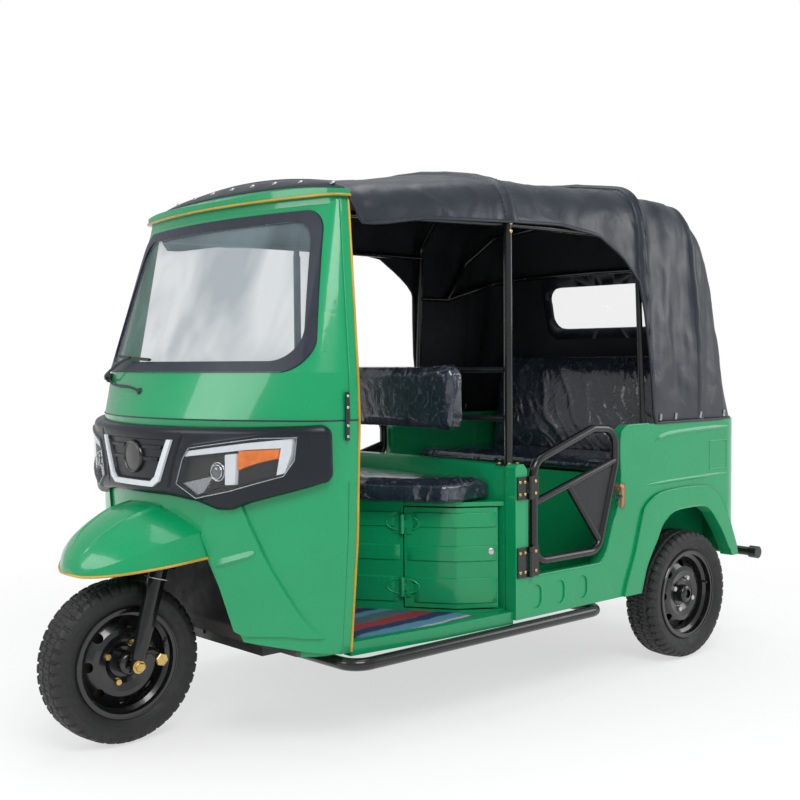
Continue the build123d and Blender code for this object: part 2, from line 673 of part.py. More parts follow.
CUSHION_HALF = HALF_W - SIDE_T - 20
with BuildPart() as passenger_cushion:
    with BuildSketch(Plane.XY.offset(BENCH_TOP + SEAT_GAP)):
        with Locations((0, 0.5 * (540 + 1000))):
            RectangleRounded(2 * CUSHION_HALF, 460, 40)
    extrude(amount=52)
write(passenger_cushion.part, "passenger_cushion")

BACK_LEAN = 10
BACK = Plane(origin=(0, 1019, 790), x_dir=(1, 0, 0), z_dir=(0, sin(radians(BACK_LEAN)), cos(radians(BACK_LEAN))))
with BuildPart() as passenger_backrest:
    with BuildSketch(BACK):
        with Locations((0, 40)):
            RectangleRounded(2 * CUSHION_HALF, 80, 30)
    extrude(amount=400)
    extrude(passenger_backrest.faces().sort_by(Axis.Z)[0], amount=100)
    with Locations((0, 1050, BENCH_TOP + SEAT_GAP)):
        Box(1300, 400, 300, align=(Align.CENTER, Align.CENTER, Align.MAX), mode=Mode.SUBTRACT)
write(passenger_backrest.part, "passenger_backrest")

# ---------------------------------------------------------------- driver's seat
SEAT_PLAN = [(582, PARTITION_Y - SEAT_GAP), (490, -220), (335, -318), (200, -404), (120, -450)]
HINGE_SEAM = SEAT_PLAN[2]
DOOR_LOW = SILL_TOP + 2
DOOR_HIGH = SEAT_BOX_TOP - 14
SEAT_STAND = 9
SEAT_HINGE_H = 64
SEAT_HINGE_ZS = (370, 580)
seam_run = (Vector(*SEAT_PLAN[1]) - Vector(*HINGE_SEAM)).normalized()
seam_out = Vector(seam_run.Y, -seam_run.X)


def seat_spot(along, out):
    """A point by the seam of the seat box's door: along its face and out from it."""
    spot = Vector(*HINGE_SEAM) + seam_run * along + seam_out * out
    return (spot.X, spot.Y)


def seat_axis(low):
    x, y = seat_spot(0, SEAT_STAND)
    return Plane(origin=(x, y, low), x_dir=(seam_run.X, seam_run.Y, 0), z_dir=(0, 0, 1))


seat_cut = [seat_spot(0, -30), (455, -190), (545, -90)]
seat_outline = [*SEAT_PLAN, *[(-x, y) for x, y in reversed(SEAT_PLAN)]]
with BuildPart() as seat_box:
    slab(seat_outline, Plane.XY.offset(FLOOR_TOP + SEAT_GAP), SEAT_BOX_TOP - FLOOR_TOP - SEAT_GAP)
    with BuildSketch(Plane.XY.offset(FLOOR_TOP)) as hollow:
        with BuildLine():
            Polyline(*seat_outline, close=True)
        make_face()
        offset(amount=-20, kind=Kind.INTERSECTION)
    extrude(hollow.sketch, amount=SEAT_BOX_TOP - 20 - FLOOR_TOP, mode=Mode.SUBTRACT)
    slab([HINGE_SEAM, *seat_cut, (600, -90), (600, -300), (400, -400)],
         Plane.XY.offset(DOOR_LOW), DOOR_HIGH - DOOR_LOW, Mode.SUBTRACT)
    for low in SEAT_HINGE_ZS:
        hinge_fixed(seat_axis(low), SEAT_HINGE_H, 30, SEAT_STAND + SEAT_GAP + 1)
write(seat_box.part, "seat_box")

with BuildPart() as seat_door:
    slab([seat_spot(DOOR_GAP, 0), SEAT_PLAN[1], (568, -106), (548, -106), (472, -206), seat_spot(DOOR_GAP, -20)],
         Plane.XY.offset(DOOR_LOW + DOOR_GAP), DOOR_HIGH - DOOR_LOW - 2 * DOOR_GAP)
    for low in SEAT_HINGE_ZS:
        hinge_moving(seat_axis(low), SEAT_HINGE_H, 30, SEAT_STAND, 1)
write(seat_door.part, "seat_box_door")

ENGINE_LOW, ENGINE_HIGH, ENGINE_HALF = 215, 600, 180
engine_front = CROSS_YS[1] + CROSS_W / 2 + SEAT_GAP
engine_rear = CROSS_YS[2] - CROSS_W / 2 - SEAT_GAP
with BuildPart() as engine:
    with BuildSketch(Plane.XY.offset(ENGINE_LOW)):
        with Locations((0, 0.5 * (engine_front + engine_rear))):
            Rectangle(2 * ENGINE_HALF, engine_rear - engine_front)
    extrude(amount=ENGINE_HIGH - ENGINE_LOW)
write(engine.part, "engine_block")

CUSHION_PLAN = [(HALF_W - 105, PARTITION_Y - 2), (HALF_W - 105, -300), (290, -462)]
cushion_outline = [*CUSHION_PLAN, *[(-x, y) for x, y in reversed(CUSHION_PLAN)]]
with BuildPart() as driver_cushion:
    slab(cushion_outline, Plane.XY.offset(SEAT_BOX_TOP + SEAT_GAP), CUSHION_T)
write(driver_cushion.part, "driver_cushion")

with BuildPart() as driver_backrest:
    with BuildSketch(front_plane(BACKREST_Y)):
        with Locations((0, 1025)):
            RectangleRounded(880, 250, 50)
    extrude(amount=-BACKREST_T)
write(driver_backrest.part, "driver_backrest")

# ---------------------------------------------------------------- roof
# columns: Y, half width at the foot, at the eave, eave height, knuckle X and Z, crown height
CANOPY = rows(
    [
        (BROW_REAR_Y + 1, 565, 548, 1610, 430, 1692, 1728),
        (-560, 609, 584, 1614, 455, 1722, 1762),
        (-62, 642, 606, 1620, 480, 1768, 1822),
        (620, 642, 608, 1640, 480, 1790, 1830),
        (900, 642, 608, 1610, 480, 1768, 1815),
        (1000, 642, 606, 1550, 470, 1722, 1785),
        (1089, 639, 598, 1430, 440, 1630, 1700),
        (1150, 628, 572, 1270, 400, 1480, 1560),
        (1205, 603, 535, 1090, 360, 1240, 1310),
        (1262, 540, 500, 930, 300, 945, 955),
    ],
    "y", "foot", "half", "eave", "knuckle_x", "knuckle_z", "crown",
)


def canopy_section(y, foot, half, eave, knuckle_x, knuckle_z, crown, wall=0):
    """One upright section of the canopy: sides that lean in, round shoulders and a low crown."""
    bulge_x = 0.5 * (half + knuckle_x) + 0.16 * (half - knuckle_x)
    bulge_z = 0.5 * (eave + knuckle_z) + 0.2 * (knuckle_z - eave)
    with BuildSketch(front_plane(y)) as section:
        with BuildLine():
            ThreePointArc((-knuckle_x, knuckle_z - wall), (0, crown - wall), (knuckle_x, knuckle_z - wall))
            ThreePointArc((knuckle_x, knuckle_z - wall), (bulge_x - 0.7 * wall, bulge_z - 0.7 * wall),
                          (half - wall, eave))
            Polyline((half - wall, eave), (foot - wall, TUB_TOP + SEAT_GAP), (wall - foot, TUB_TOP + SEAT_GAP),
                     (wall - half, eave))
            ThreePointArc((wall - half, eave), (0.7 * wall - bulge_x, bulge_z - 0.7 * wall),
                          (-knuckle_x, knuckle_z - wall))
        make_face()
    return section.sketch


# the edge round the side opening: Y, Z
SIDE_OPENING = [(-800, 1640), (BROW_REAR_Y, 1640), (-668, 1562), (-616, 1562), (-434, 1591), (-85, 1605), (173, 1614), (389, 1591), (531, 1504),
                (602, 1442), (640, TUB_TOP - 20), (-800, TUB_TOP - 20)]
WINDOW_HALF, WINDOW_LOW, WINDOW_HIGH = 320, 1275, 1490
with BuildPart() as canopy:
    loft([canopy_section(**row) for row in CANOPY], ruled=True)
    inner = [dict(row) for row in CANOPY]
    inner[0]["y"] -= 30
    inner[-1]["y"] -= CANOPY_T
    loft([canopy_section(**row, wall=CANOPY_T) for row in inner], ruled=True, mode=Mode.SUBTRACT)
    slab(SIDE_OPENING, side_plane(0), 900, Mode.SUBTRACT, both=True)
    with BuildSketch(front_plane(1000)):
        with Locations((0, 0.5 * (WINDOW_LOW + WINDOW_HIGH))):
            RectangleRounded(2 * WINDOW_HALF, WINDOW_HIGH - WINDOW_LOW, 45)
    extrude(amount=-400, mode=Mode.SUBTRACT)
write(canopy.part, "canopy")

POST_FOOT_Z = BEAM_TOP - BEAM_CROWN * ((POST_X - POST_R) / (HALF_W - SIDE_T)) ** 2 + SEAT_GAP
HOOP_IN = CANOPY_T + HOOP_R + 3
EAVE_RAIL_X = 562
HOOP_FRONT_X, HOOP_FRONT_Z = 508, 1590
EAVE_RAIL_Z = 1600
PIVOT_Y, PIVOT_Z = 780, 1423
HOOP_FOOT_DIP = 0.6
# columns: plane's Y at the foot and crown, foot X and Z, then X and Z at shoulder, knuckle and crown
HOOPS = [
    (BROW_REAR_Y + HOOP_R + SEAT_GAP, 0, HOOP_FRONT_X, HOOP_FRONT_Z - 12, 512, 1622, 415, 1662, 1700),
    (POST_Y, 0, POST_X, 1560, 580, 1630, 480, 1744, 1798),
    (620, 0, 612, TUB_TOP + SEAT_GAP + HOOP_FOOT_DIP, 584, 1640, 480, 1766, 1806),
    (PIVOT_Y, 213, 590, PIVOT_Z, 582, 1582, 465, 1700, 1750),
    (PIVOT_Y, 355, 590, PIVOT_Z, 560, 1501, 410, 1523, 1530),
]
with BuildPart() as roof_frame:
    for y, lean, foot_x, foot_z, shoulder_x, shoulder_z, knuckle_x, knuckle_z, crown_z in HOOPS:
        rise = crown_z - foot_z
        half_hoop = [(foot_x, foot_z), (shoulder_x, shoulder_z), (knuckle_x, knuckle_z), (0, crown_z)]
        half_hoop = [(x, y + lean * (z - foot_z) / rise, z) for x, z in half_hoop]
        bar([*half_hoop, *[(-x, way, z) for x, way, z in reversed(half_hoop[:-1])]], 45, HOOP_R)
    for flip in (1, -1):
        bar([(flip * POST_X, POST_Y, POST_FOOT_Z), (flip * POST_X, POST_Y, 1570)], 0, POST_R)
        bar([(flip * HOOP_FRONT_X, HOOPS[0][0], HOOP_FRONT_Z), (flip * EAVE_RAIL_X, POST_Y, EAVE_RAIL_Z),
             (flip * 584, 620, EAVE_RAIL_Z)], 60, 10)
        bar([(flip * 588, 620, PIVOT_Z), (flip * 590, PIVOT_Y + 12, PIVOT_Z)], 0, 10)
write(roof_frame.part, "roof_frame")

RAIL_REACH = POST_X - POST_R - SEAT_GAP
with BuildPart() as backrest_rails:
    for z in (957, 1120):
        bar([(-RAIL_REACH, POST_Y, z), (RAIL_REACH, POST_Y, z)], 0, 10)
    # brackets that carry the driver's backrest
    for x in (-250, 250):
        with BuildSketch(side_plane(x - 20)):
            with Locations((0.5 * (BACKREST_Y + BACKREST_T + SEAT_GAP + POST_Y), 1038)):
                Rectangle(POST_Y - BACKREST_Y - BACKREST_T - SEAT_GAP, 190)
        extrude(amount=40)
write(backrest_rails.part, "backrest_rails")

# ---------------------------------------------------------------- rear axle and drive
AXLE_TUBE_R = 32
STUB_R = AXLE_R + 4
ARM_R = 18
DAMPER_R = 28
DIFF_R = 85
SHAFT_R = 18
SHAFT_Z = 232
NOSE_Y = REAR_AXLE_Y - 130
with BuildPart() as rear_axle:
    bar([(-WELL_X, REAR_AXLE_Y, WHEEL_R), (WELL_X, REAR_AXLE_Y, WHEEL_R)], 0, AXLE_TUBE_R)
    bar([(-90, REAR_AXLE_Y, WHEEL_R), (90, REAR_AXLE_Y, WHEEL_R)], 0, DIFF_R)
    bar([(0, REAR_AXLE_Y, WHEEL_R), (0, NOSE_Y, WHEEL_R)], 0, 45)
    for x in (-ARM_X, ARM_X):
        bar([(x, CROSS_YS[3] + CROSS_W / 2 + SEAT_GAP, RAIL_Z - 14), (x, REAR_AXLE_Y, WHEEL_R)], 0, ARM_R)
        bar([(x, REAR_AXLE_Y, WHEEL_R), (x, REAR_AXLE_Y, DAMPER_TOP - 16 - SEAT_GAP)], 0, DAMPER_R)
    for x in (-WELL_X - 1, WELL_X + 1):
        with BuildSketch(side_plane(x)):
            with Locations((REAR_AXLE_Y, WHEEL_R)):
                Circle(STUB_R + RUN_GAP)
        extrude(amount=-70 if x > 0 else 70, mode=Mode.SUBTRACT)
write(rear_axle.part, "rear_axle")

with BuildPart() as driveshaft:
    bar([(0, engine_rear + SEAT_GAP, SHAFT_Z), (0, NOSE_Y - SEAT_GAP, SHAFT_Z)], 0, SHAFT_R)
    bar([(0, engine_rear + SEAT_GAP, SHAFT_Z), (0, engine_rear + 15, SHAFT_Z)], 0, 22)
write(driveshaft.part, "driveshaft")

# ---------------------------------------------------------------- bars round the body
STEP_X, STEP_Z, STEP_R = HALF_W + 1, 272, 19
STEP_FRONT_Y, STEP_REAR_Y = -780, 345
with BuildPart() as steps:
    for flip in (1, -1):
        inner_x = flip * (RAIL_X + RAIL_W / 2 + SEAT_GAP)
        bar([(inner_x, STEP_FRONT_Y, STEP_Z), (flip * STEP_X, STEP_FRONT_Y, STEP_Z),
             (flip * STEP_X, STEP_REAR_Y, STEP_Z), (inner_x, STEP_REAR_Y, STEP_Z)], 60, STEP_R)
write(steps.part, "step_bars")

BUMPER_HALF = 612
with BuildPart() as bumper:
    bar([(-BUMPER_HALF, BUMPER_Y, BUMPER_Z), (BUMPER_HALF, BUMPER_Y, BUMPER_Z)], 0, BUMPER_R)
    for flip in (1, -1):
        bar([(flip * (BUMPER_HALF - 30), BUMPER_Y, BUMPER_Z), (flip * (BUMPER_HALF + 6), BUMPER_Y, BUMPER_Z)],
            0, CAP_R)
write(bumper.part, "rear_bumper")

# ---------------------------------------------------------------- half-doors
DOOR_X = HALF_W - 10
DOOR_R = 15
HINGE_X, HINGE_Y = HALF_W + 10, -35
# columns: foot, head
DOOR_HINGES = [(437, 537), (694, 770)]
DOOR_LOOP = [(0, 480), (0, 812), (310, 912), (433, 905), (433, 785), (335, 480)]
DOOR_BRACES = [[(0, 676), (433, 795)], [(178, 722), (345, 515)]]
DOOR_INFILL = [(178, 722), (433, 795), (433, 785), (342, 500)]


def door_axis(low):
    return Plane(origin=(HINGE_X, HINGE_Y, low), x_dir=(0, 1, 0), z_dir=(0, 0, 1))


with BuildPart() as door_hinge:
    for low, high in DOOR_HINGES:
        hinge_fixed(door_axis(low), high - low, 56, HINGE_X - HALF_W)
write(Compound(children=[*door_hinge.part.solids(), *door_hinge.part.mirror(Plane.YZ).solids()]), "door_hinges")


def door_bars(radius, mode=Mode.ADD):
    """The door's loop and its two braces."""
    plane = side_plane(DOOR_X)
    with BuildLine() as loop:
        FilletPolyline(*[plane.from_local_coords(Vector(y, z)) for y, z in DOOR_LOOP], radius=60, close=True)
    with BuildSketch(Plane(origin=loop.line @ 0, z_dir=loop.line % 0)) as end:
        Circle(radius)
    sweep(sections=end.sketch, path=loop.line, mode=mode)
    for brace in DOOR_BRACES:
        bar([(y, z, 0) for y, z in brace], 0, radius - 2, plane, mode)


with BuildPart() as door_frame:
    door_bars(DOOR_R)
    for low, high in DOOR_HINGES:
        hinge_moving(door_axis(low), high - low, 46, HINGE_X - HALF_W, 1)
write(door_frame.part, "door_frame_left")
write(door_frame.part.mirror(Plane.YZ), "door_frame_right")

with BuildPart() as door_panel:
    slab(DOOR_INFILL, side_plane(DOOR_X - 4), 8)
    door_bars(DOOR_R + SEAT_GAP, Mode.SUBTRACT)
write(door_panel.part, "door_panel_left")
write(door_panel.part.mirror(Plane.YZ), "door_panel_right")

# ---------------------------------------------------------------- dashboard
with BuildPart() as dashboard:
    cowl_body(UPPER_COWL, grow=-SKIN - SEAT_GAP)
    slab([(-1200, 1045), (-915, 1045), (-905, 1055), (-905, 1078), (-915, 1085), (-1200, 1085)], side_plane(0), 700,
         Mode.INTERSECT, both=True)
write(dashboard.part, "dashboard")
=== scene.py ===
from math import atan2, cos, pi, radians, sin, sqrt

import bmesh
import bpy
import numpy as np
from mathutils import Matrix, Vector, noise
from mathutils.geometry import delaunay_2d_cdt


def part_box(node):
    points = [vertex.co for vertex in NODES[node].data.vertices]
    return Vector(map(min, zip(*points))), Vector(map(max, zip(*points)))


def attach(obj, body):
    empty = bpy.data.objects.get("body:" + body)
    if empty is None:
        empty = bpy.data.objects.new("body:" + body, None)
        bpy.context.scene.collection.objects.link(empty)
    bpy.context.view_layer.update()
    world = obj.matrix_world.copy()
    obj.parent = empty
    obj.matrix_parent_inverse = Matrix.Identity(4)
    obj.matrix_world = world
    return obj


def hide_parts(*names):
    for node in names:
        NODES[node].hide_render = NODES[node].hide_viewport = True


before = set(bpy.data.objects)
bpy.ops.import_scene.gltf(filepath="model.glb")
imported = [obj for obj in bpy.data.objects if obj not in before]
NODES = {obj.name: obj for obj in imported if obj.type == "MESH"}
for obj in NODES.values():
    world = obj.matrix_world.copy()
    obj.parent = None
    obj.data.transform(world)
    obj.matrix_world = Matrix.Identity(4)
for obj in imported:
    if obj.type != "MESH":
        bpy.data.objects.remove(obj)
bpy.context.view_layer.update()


def place(name, data):
    """A new object in the scene."""
    o = bpy.data.objects.new(name, data)
    bpy.context.collection.objects.link(o)
    return o


# ------------------------------------------------------------------ camera, floor and light
YAW, PITCH, ROLL = 0.819174, 0.038435, -0.006202
CAMERA_AT = (3.272539, -2.936878, 1.153175)
FRAME_PX, FOCAL_PX, MIDDLE_X, MIDDLE_Y = 800, 1189.92, 429.88, 405.97  # of the photograph
back = Vector((sin(YAW) * cos(PITCH), -cos(YAW) * cos(PITCH), sin(PITCH)))
right = (-back).cross(Vector((0, 0, 1))).normalized()
up = right.cross(-back)
right, up = right * cos(ROLL) + up * sin(ROLL), up * cos(ROLL) - right * sin(ROLL)
cam_data = bpy.data.cameras.new("camera")
cam = place("camera", cam_data)
cam.matrix_world = Matrix.Translation(CAMERA_AT) @ Matrix((right, up, back)).transposed().to_4x4()
cam_data.sensor_width = 36
cam_data.lens = cam_data.sensor_width * FOCAL_PX / FRAME_PX
cam_data.shift_x = (FRAME_PX / 2 - MIDDLE_X) / FRAME_PX
cam_data.shift_y = (MIDDLE_Y - FRAME_PX / 2) / FRAME_PX
cam_data.clip_end = 300
bpy.context.scene.camera = cam
bpy.context.scene.view_settings.view_transform = "Standard"


def link(tree, a, b):
    tree.links.new(a, b)


def math_node(tree, op, a, b):
    """The output of a math node on two numbers or sockets."""
    n = tree.nodes.new("ShaderNodeMath")
    n.operation = op
    for i, v in enumerate((a, b)):
        if isinstance(v, (int, float)):
            n.inputs[i].default_value = v
        else:
            link(tree, v, n.inputs[i])
    return n.outputs[0]


def mix_shaders(tree, factor, a, b, out):
    """Shaders a and b mixed by the factor, on to the output node."""
    mix = tree.nodes.new("ShaderNodeMixShader")
    for source, target in zip((factor, a.outputs[0], b.outputs[0]), mix.inputs):
        link(tree, source, target)
    link(tree, mix.outputs[0], out.inputs["Surface"])


def stage_material(name, shade, glow):
    """Pale to the camera and in reflections, and as white as the background away from the object."""
    m = bpy.data.materials.new(name)
    m.use_nodes = True
    t = m.node_tree
    t.nodes.clear()
    out = t.nodes.new("ShaderNodeOutputMaterial")
    diffuse = t.nodes.new("ShaderNodeBsdfDiffuse")
    diffuse.inputs["Color"].default_value = (shade, shade, shade, 1)
    emit = t.nodes.new("ShaderNodeEmission")
    emit.inputs["Strength"].default_value = 1.0
    ray = t.nodes.new("ShaderNodeLightPath").outputs
    seen = math_node(t, "MAXIMUM", math_node(t, "MAXIMUM", ray["Is Camera Ray"], ray["Is Glossy Ray"]),
                     ray["Is Transmission Ray"])
    far = t.nodes.new("ShaderNodeVectorMath")
    far.operation = "LENGTH"
    link(t, t.nodes.new("ShaderNodeTexCoord").outputs["Object"], far.inputs[0])
    fade = t.nodes.new("ShaderNodeMapRange")
    fade.interpolation_type = "SMOOTHSTEP"
    for key, value in (("From Min", 1.5), ("From Max", 3.4), ("To Min", glow), ("To Max", 1.0)):
        fade.inputs[key].default_value = value
    link(t, far.outputs["Value"], fade.inputs["Value"])
    mix_shaders(t, math_node(t, "MULTIPLY", seen, fade.outputs["Result"]), diffuse, emit, out)
    return m


floor_mesh = bpy.data.meshes.new("floor")
floor_mesh.from_pydata([(-60, -60, 0), (60, -60, 0), (60, 60, 0), (-60, 60, 0)], [], [(0, 1, 2, 3)])
floor = place("floor", floor_mesh)
floor.location.z = -0.0008
floor_mesh.materials.append(stage_material("floor", 0.9, 0.62))

world = bpy.data.worlds.new("world")
bpy.context.scene.world = world
world.use_nodes = True
wt = world.node_tree
wt.nodes.clear()
seen = wt.nodes.new("ShaderNodeBackground")
seen.inputs["Color"].default_value = (1, 1, 1, 1)
lit = wt.nodes.new("ShaderNodeBackground")
lit.inputs["Strength"].default_value = 0.55
lit.inputs["Color"].default_value = (0.95, 0.98, 1, 1)
ray = wt.nodes.new("ShaderNodeLightPath").outputs
mix_shaders(wt, math_node(wt, "MAXIMUM", ray["Is Camera Ray"], ray["Is Transmission Ray"]), lit, seen,
            wt.nodes.new("ShaderNodeOutputWorld"))


def area_light(name, at, aim, size, power):
    data = bpy.data.lights.new(name, "AREA")
    data.shape = "RECTANGLE"
    data.size, data.size_y = size
    data.energy = power
    o = place(name, data)
    o.location = at
    o.rotation_mode = "QUATERNION"
    o.rotation_quaternion = (Vector(aim) - Vector(at)).to_track_quat("-Z", "Y")


area_light("key", (4.6, -2.6, 5.2), (0, 0, 0.9), (3.5, 2.5), 210)
area_light("nose", (-1.6, -6.0, 3.2), (0, -1.1, 0.8), (3.5, 2.0), 95)
area_light("top", (-0.5, 0.5, 6.5), (0, 0, 1), (4, 5), 130)
area_light("tail", (3.5, 4.5, 2.6), (0.4, 0.9, 0.8), (2.5, 2.5), 60)


# ------------------------------------------------------------------ materials
class Look:
    """One node material made from a few layers: colour, roughness, grain and bump."""

    def __init__(self, name, color, rough=0.5, metal=0.0, coat=0.0, coat_rough=0.05, spec=0.5, alpha=1.0):
        self.m = bpy.data.materials.new(name)
        self.m.use_nodes = True
        self.t = self.m.node_tree
        self.b = self.t.nodes["Principled BSDF"]
        for key, value in (("Base Color", (*color, 1)), ("Roughness", rough), ("Metallic", metal),
                           ("Coat Weight", coat), ("Coat Roughness", coat_rough), ("Specular IOR Level", spec),
                           ("Alpha", alpha)):
            self.b.inputs[key].default_value = value
        self.color, self.rough = color, rough
        self.where = self.t.nodes.new("ShaderNodeTexCoord").outputs["Object"]
        self.height = None

    def node(self, kind, **inputs):
        n = self.t.nodes.new(kind)
        for key, value in inputs.items():
            n.inputs[key.replace("_", " ")].default_value = value
        return n

    def stretch(self, x, y, z):
        n = self.t.nodes.new("ShaderNodeMapping")
        n.inputs["Scale"].default_value = (x, y, z)
        link(self.t, self.where, n.inputs["Vector"])
        return n.outputs[0]

    def noise(self, scale, detail=4.0, where=None, distortion=0.0):
        n = self.node("ShaderNodeTexNoise", Scale=scale, Detail=detail, Roughness=0.55, Distortion=distortion)
        link(self.t, where or self.where, n.inputs["Vector"])
        return n.outputs["Fac"]

    def cells(self, scale):
        n = self.node("ShaderNodeTexVoronoi", Scale=scale)
        link(self.t, self.where, n.inputs["Vector"])
        return n.outputs["Distance"]

    def waves(self, scale, direction, distortion=0.0):
        n = self.node("ShaderNodeTexWave", Scale=scale, Distortion=distortion)
        n.bands_direction = direction
        link(self.t, self.where, n.inputs["Vector"])
        return n.outputs["Fac"]

    def ramp(self, source, low, high, a=0.0, b=1.0):
        n = self.node("ShaderNodeMapRange", From_Min=low, From_Max=high, To_Min=a, To_Max=b)
        link(self.t, source, n.inputs["Value"])
        return n.outputs["Result"]

    def math(self, op, a, b):
        return math_node(self.t, op, a, b)

    def axis(self, letter, source=None):
        """One coordinate of where the shaded point is."""
        n = self.t.nodes.new("ShaderNodeSeparateXYZ")
        link(self.t, source or self.where, n.inputs[0])
        return n.outputs[letter]

    def layers(self, pattern, depth, *args, vary=None, gloss=None):
        """Patches of tone, patches of gloss, and a bump from the named pattern."""
        if vary:
            self.vary(*vary)
        if gloss:
            self.gloss(*gloss)
        return self.bump(getattr(self, pattern)(*args), depth)

    def blend_color(self, mask, color):
        """The colour laid over what is there, by the mask."""
        n = self.t.nodes.new("ShaderNodeMix")
        n.data_type = "RGBA"
        old = self.b.inputs["Base Color"]
        if old.is_linked:
            link(self.t, old.links[0].from_socket, n.inputs["A"])
        else:
            n.inputs["A"].default_value = old.default_value
        n.inputs["B"].default_value = (*color, 1)
        link(self.t, mask, n.inputs["Factor"])
        link(self.t, n.outputs["Result"], old)
        return self

    def vary(self, amount, scale):
        """Patches a little darker and lighter than the colour."""
        f = self.noise(scale)
        self.blend_color(self.ramp(f, 0.52, 0.75), tuple(c * (1 + amount) + 0.004 * amount for c in self.color))
        self.blend_color(self.ramp(f, 0.48, 0.28), tuple(c * (1 - amount) for c in self.color))
        return self

    def gloss(self, amount, scale):
        """Patches a little glossier and duller than the roughness."""
        f = self.noise(scale, 5.0)
        link(self.t, self.ramp(f, 0.3, 0.7, max(0.0, self.rough - amount), min(1.0, self.rough + amount)),
             self.b.inputs["Roughness"])
        return self

    def bump(self, source, depth, coat=False):
        """depth is the height in metres between the pattern's low and high."""
        n = self.node("ShaderNodeBump", Strength=1.0, Distance=depth)
        link(self.t, source, n.inputs["Height"])
        if self.height is not None:
            link(self.t, self.height, n.inputs["Normal"])
        self.height = n.outputs[0]
        link(self.t, self.height, self.b.inputs["Normal"])
        if coat:
            link(self.t, self.height, self.b.inputs["Coat Normal"])
        return self

    def dust(self, color, amount, low, high):
        """Road dust that thins out upwards."""
        fade = self.ramp(self.axis("Z"), high, low, 0.0, amount)
        patch = self.math("MULTIPLY", fade, self.ramp(self.noise(9, 6), 0.35, 0.7))
        return self.blend_color(patch, color)


def dress(node, look):
    """A CAD node takes that look."""
    o = NODES[node]
    o.data.materials.clear()
    o.data.materials.append(look.m)
    for slot in o.material_slots:
        slot.material = look.m


def paint(name, color):
    look = Look(name, color, rough=0.30, coat=0.5, coat_rough=0.05, spec=0.28)
    look.vary(0.06, 3.0).gloss(0.05, 14)
    look.bump(look.noise(420, 2), 0.00002, coat=True)
    look.bump(look.noise(5.5, 2), 0.0007, coat=True)
    return look


green = paint("green_paint", (0.0035, 0.30, 0.110))
green.dust((0.10, 0.25, 0.15), 0.12, 0.25, 0.5)
# the green paint made darker for the floor pan inside the tub: painted shade
green_painted_shade = paint("green_paint_painted_shade", (0.0035, 0.27, 0.10))
black = Look("black_paint", (0.0065, 0.0068, 0.0075), rough=0.25, coat=0.35, coat_rough=0.08, spec=0.4)
black.layers("noise", 0.000015, 260, 2, vary=(0.2, 5), gloss=(0.05, 20))
black.dust((0.05, 0.045, 0.04), 0.12, 0.2, 0.4)
frame_black = Look("chassis_paint", (0.012, 0.012, 0.013), rough=0.45, coat=0.15, coat_rough=0.25)
frame_black.layers("noise", 0.00008, 160, 4, vary=(0.3, 12), gloss=(0.1, 30))
frame_black.dust((0.10, 0.09, 0.08), 0.3, 0.15, 0.5)
wheel_black = Look("wheel_paint", (0.007, 0.0072, 0.008), rough=0.22, coat=0.5, coat_rough=0.08)
wheel_black.layers("noise", 0.00003, 240, 3, vary=(0.25, 14), gloss=(0.06, 60))
plastic = Look("mask_plastic", (0.0085, 0.0115, 0.0165), rough=0.34, coat=0.10, coat_rough=0.2, spec=0.26)
plastic.layers("cells", 0.00003, 900, vary=(0.1, 6), gloss=(0.05, 30))
moulded = Look("moulded_plastic", (0.011, 0.012, 0.014), rough=0.5)
moulded.layers("cells", 0.00006, 700, vary=(0.15, 11), gloss=(0.08, 50))
gaiter_rubber = Look("gaiter_rubber", (0.024, 0.025, 0.029), rough=0.30, spec=0.5, coat=0.4)
gaiter_rubber.layers("noise", 0.00006, 300, 4, vary=(0.3, 30), gloss=(0.08, 70))
seal_rubber = Look("seal_rubber", (0.011, 0.016, 0.030), rough=0.40)
seal_rubber.layers("noise", 0.00004, 350, 4, vary=(0.2, 20), gloss=(0.08, 70))
steel = Look("steel", (0.55, 0.55, 0.54), rough=0.32, metal=1.0).layers("noise", 0.00004, 500, 3, gloss=(0.12, 120))
brass = Look("brass_plated_steel", (0.62, 0.44, 0.16), rough=0.3, metal=1.0)
brass.layers("noise", 0.00004, 600, 3, vary=(0.2, 80), gloss=(0.12, 150))
iron = Look("cast_iron", (0.12, 0.12, 0.125), rough=0.55, metal=0.6)
iron.layers("noise", 0.0003, 260, 6, vary=(0.3, 14), gloss=(0.1, 60))
trim = Look("trim_plastic", (0.50, 0.29, 0.012), rough=0.35, coat=0.3)
trim.layers("noise", 0.00005, 400, 3, vary=(0.25, 9), gloss=(0.08, 80))
glass = Look("windscreen_glass", (0.20, 0.26, 0.29), rough=0.03, alpha=0.34)
glass.layers("noise", 0.0003, 3.0, 1, gloss=(0.01, 12))
# painted reflection on the glass: the glass is made less clear in long streaks and over an even grey cast, and darker
# towards the top
shade = glass.ramp(glass.axis("Z"), 1.50, 1.60, 0.0, 1.0)
reflection_streaks = glass.ramp(glass.noise(2.2, 3, where=glass.stretch(1, 1, 0.35), distortion=1.0), 0.42, 0.62, 0.0, 0.28)
cover = glass.math("ADD", glass.math("MULTIPLY", shade, 0.26), glass.math("ADD", reflection_streaks, 0.22))
link(glass.t, cover, glass.b.inputs["Alpha"])
tail_lens = Look("tail_lens", (0.40, 0.008, 0.008), rough=0.12, coat=0.6)
tail_lens.layers("waves", 0.0004, 60, "Z", vary=(0.2, 30))
mat_look = Look("floor_mat", (0.085, 0.12, 0.155), rough=0.6)
slant = mat_look.t.nodes.new("ShaderNodeMapping")
slant.inputs["Rotation"].default_value = (0, 0, radians(-4))
link(mat_look.t, mat_look.where, slant.inputs["Vector"])
mat_x = mat_look.axis("X", slant.outputs[0])


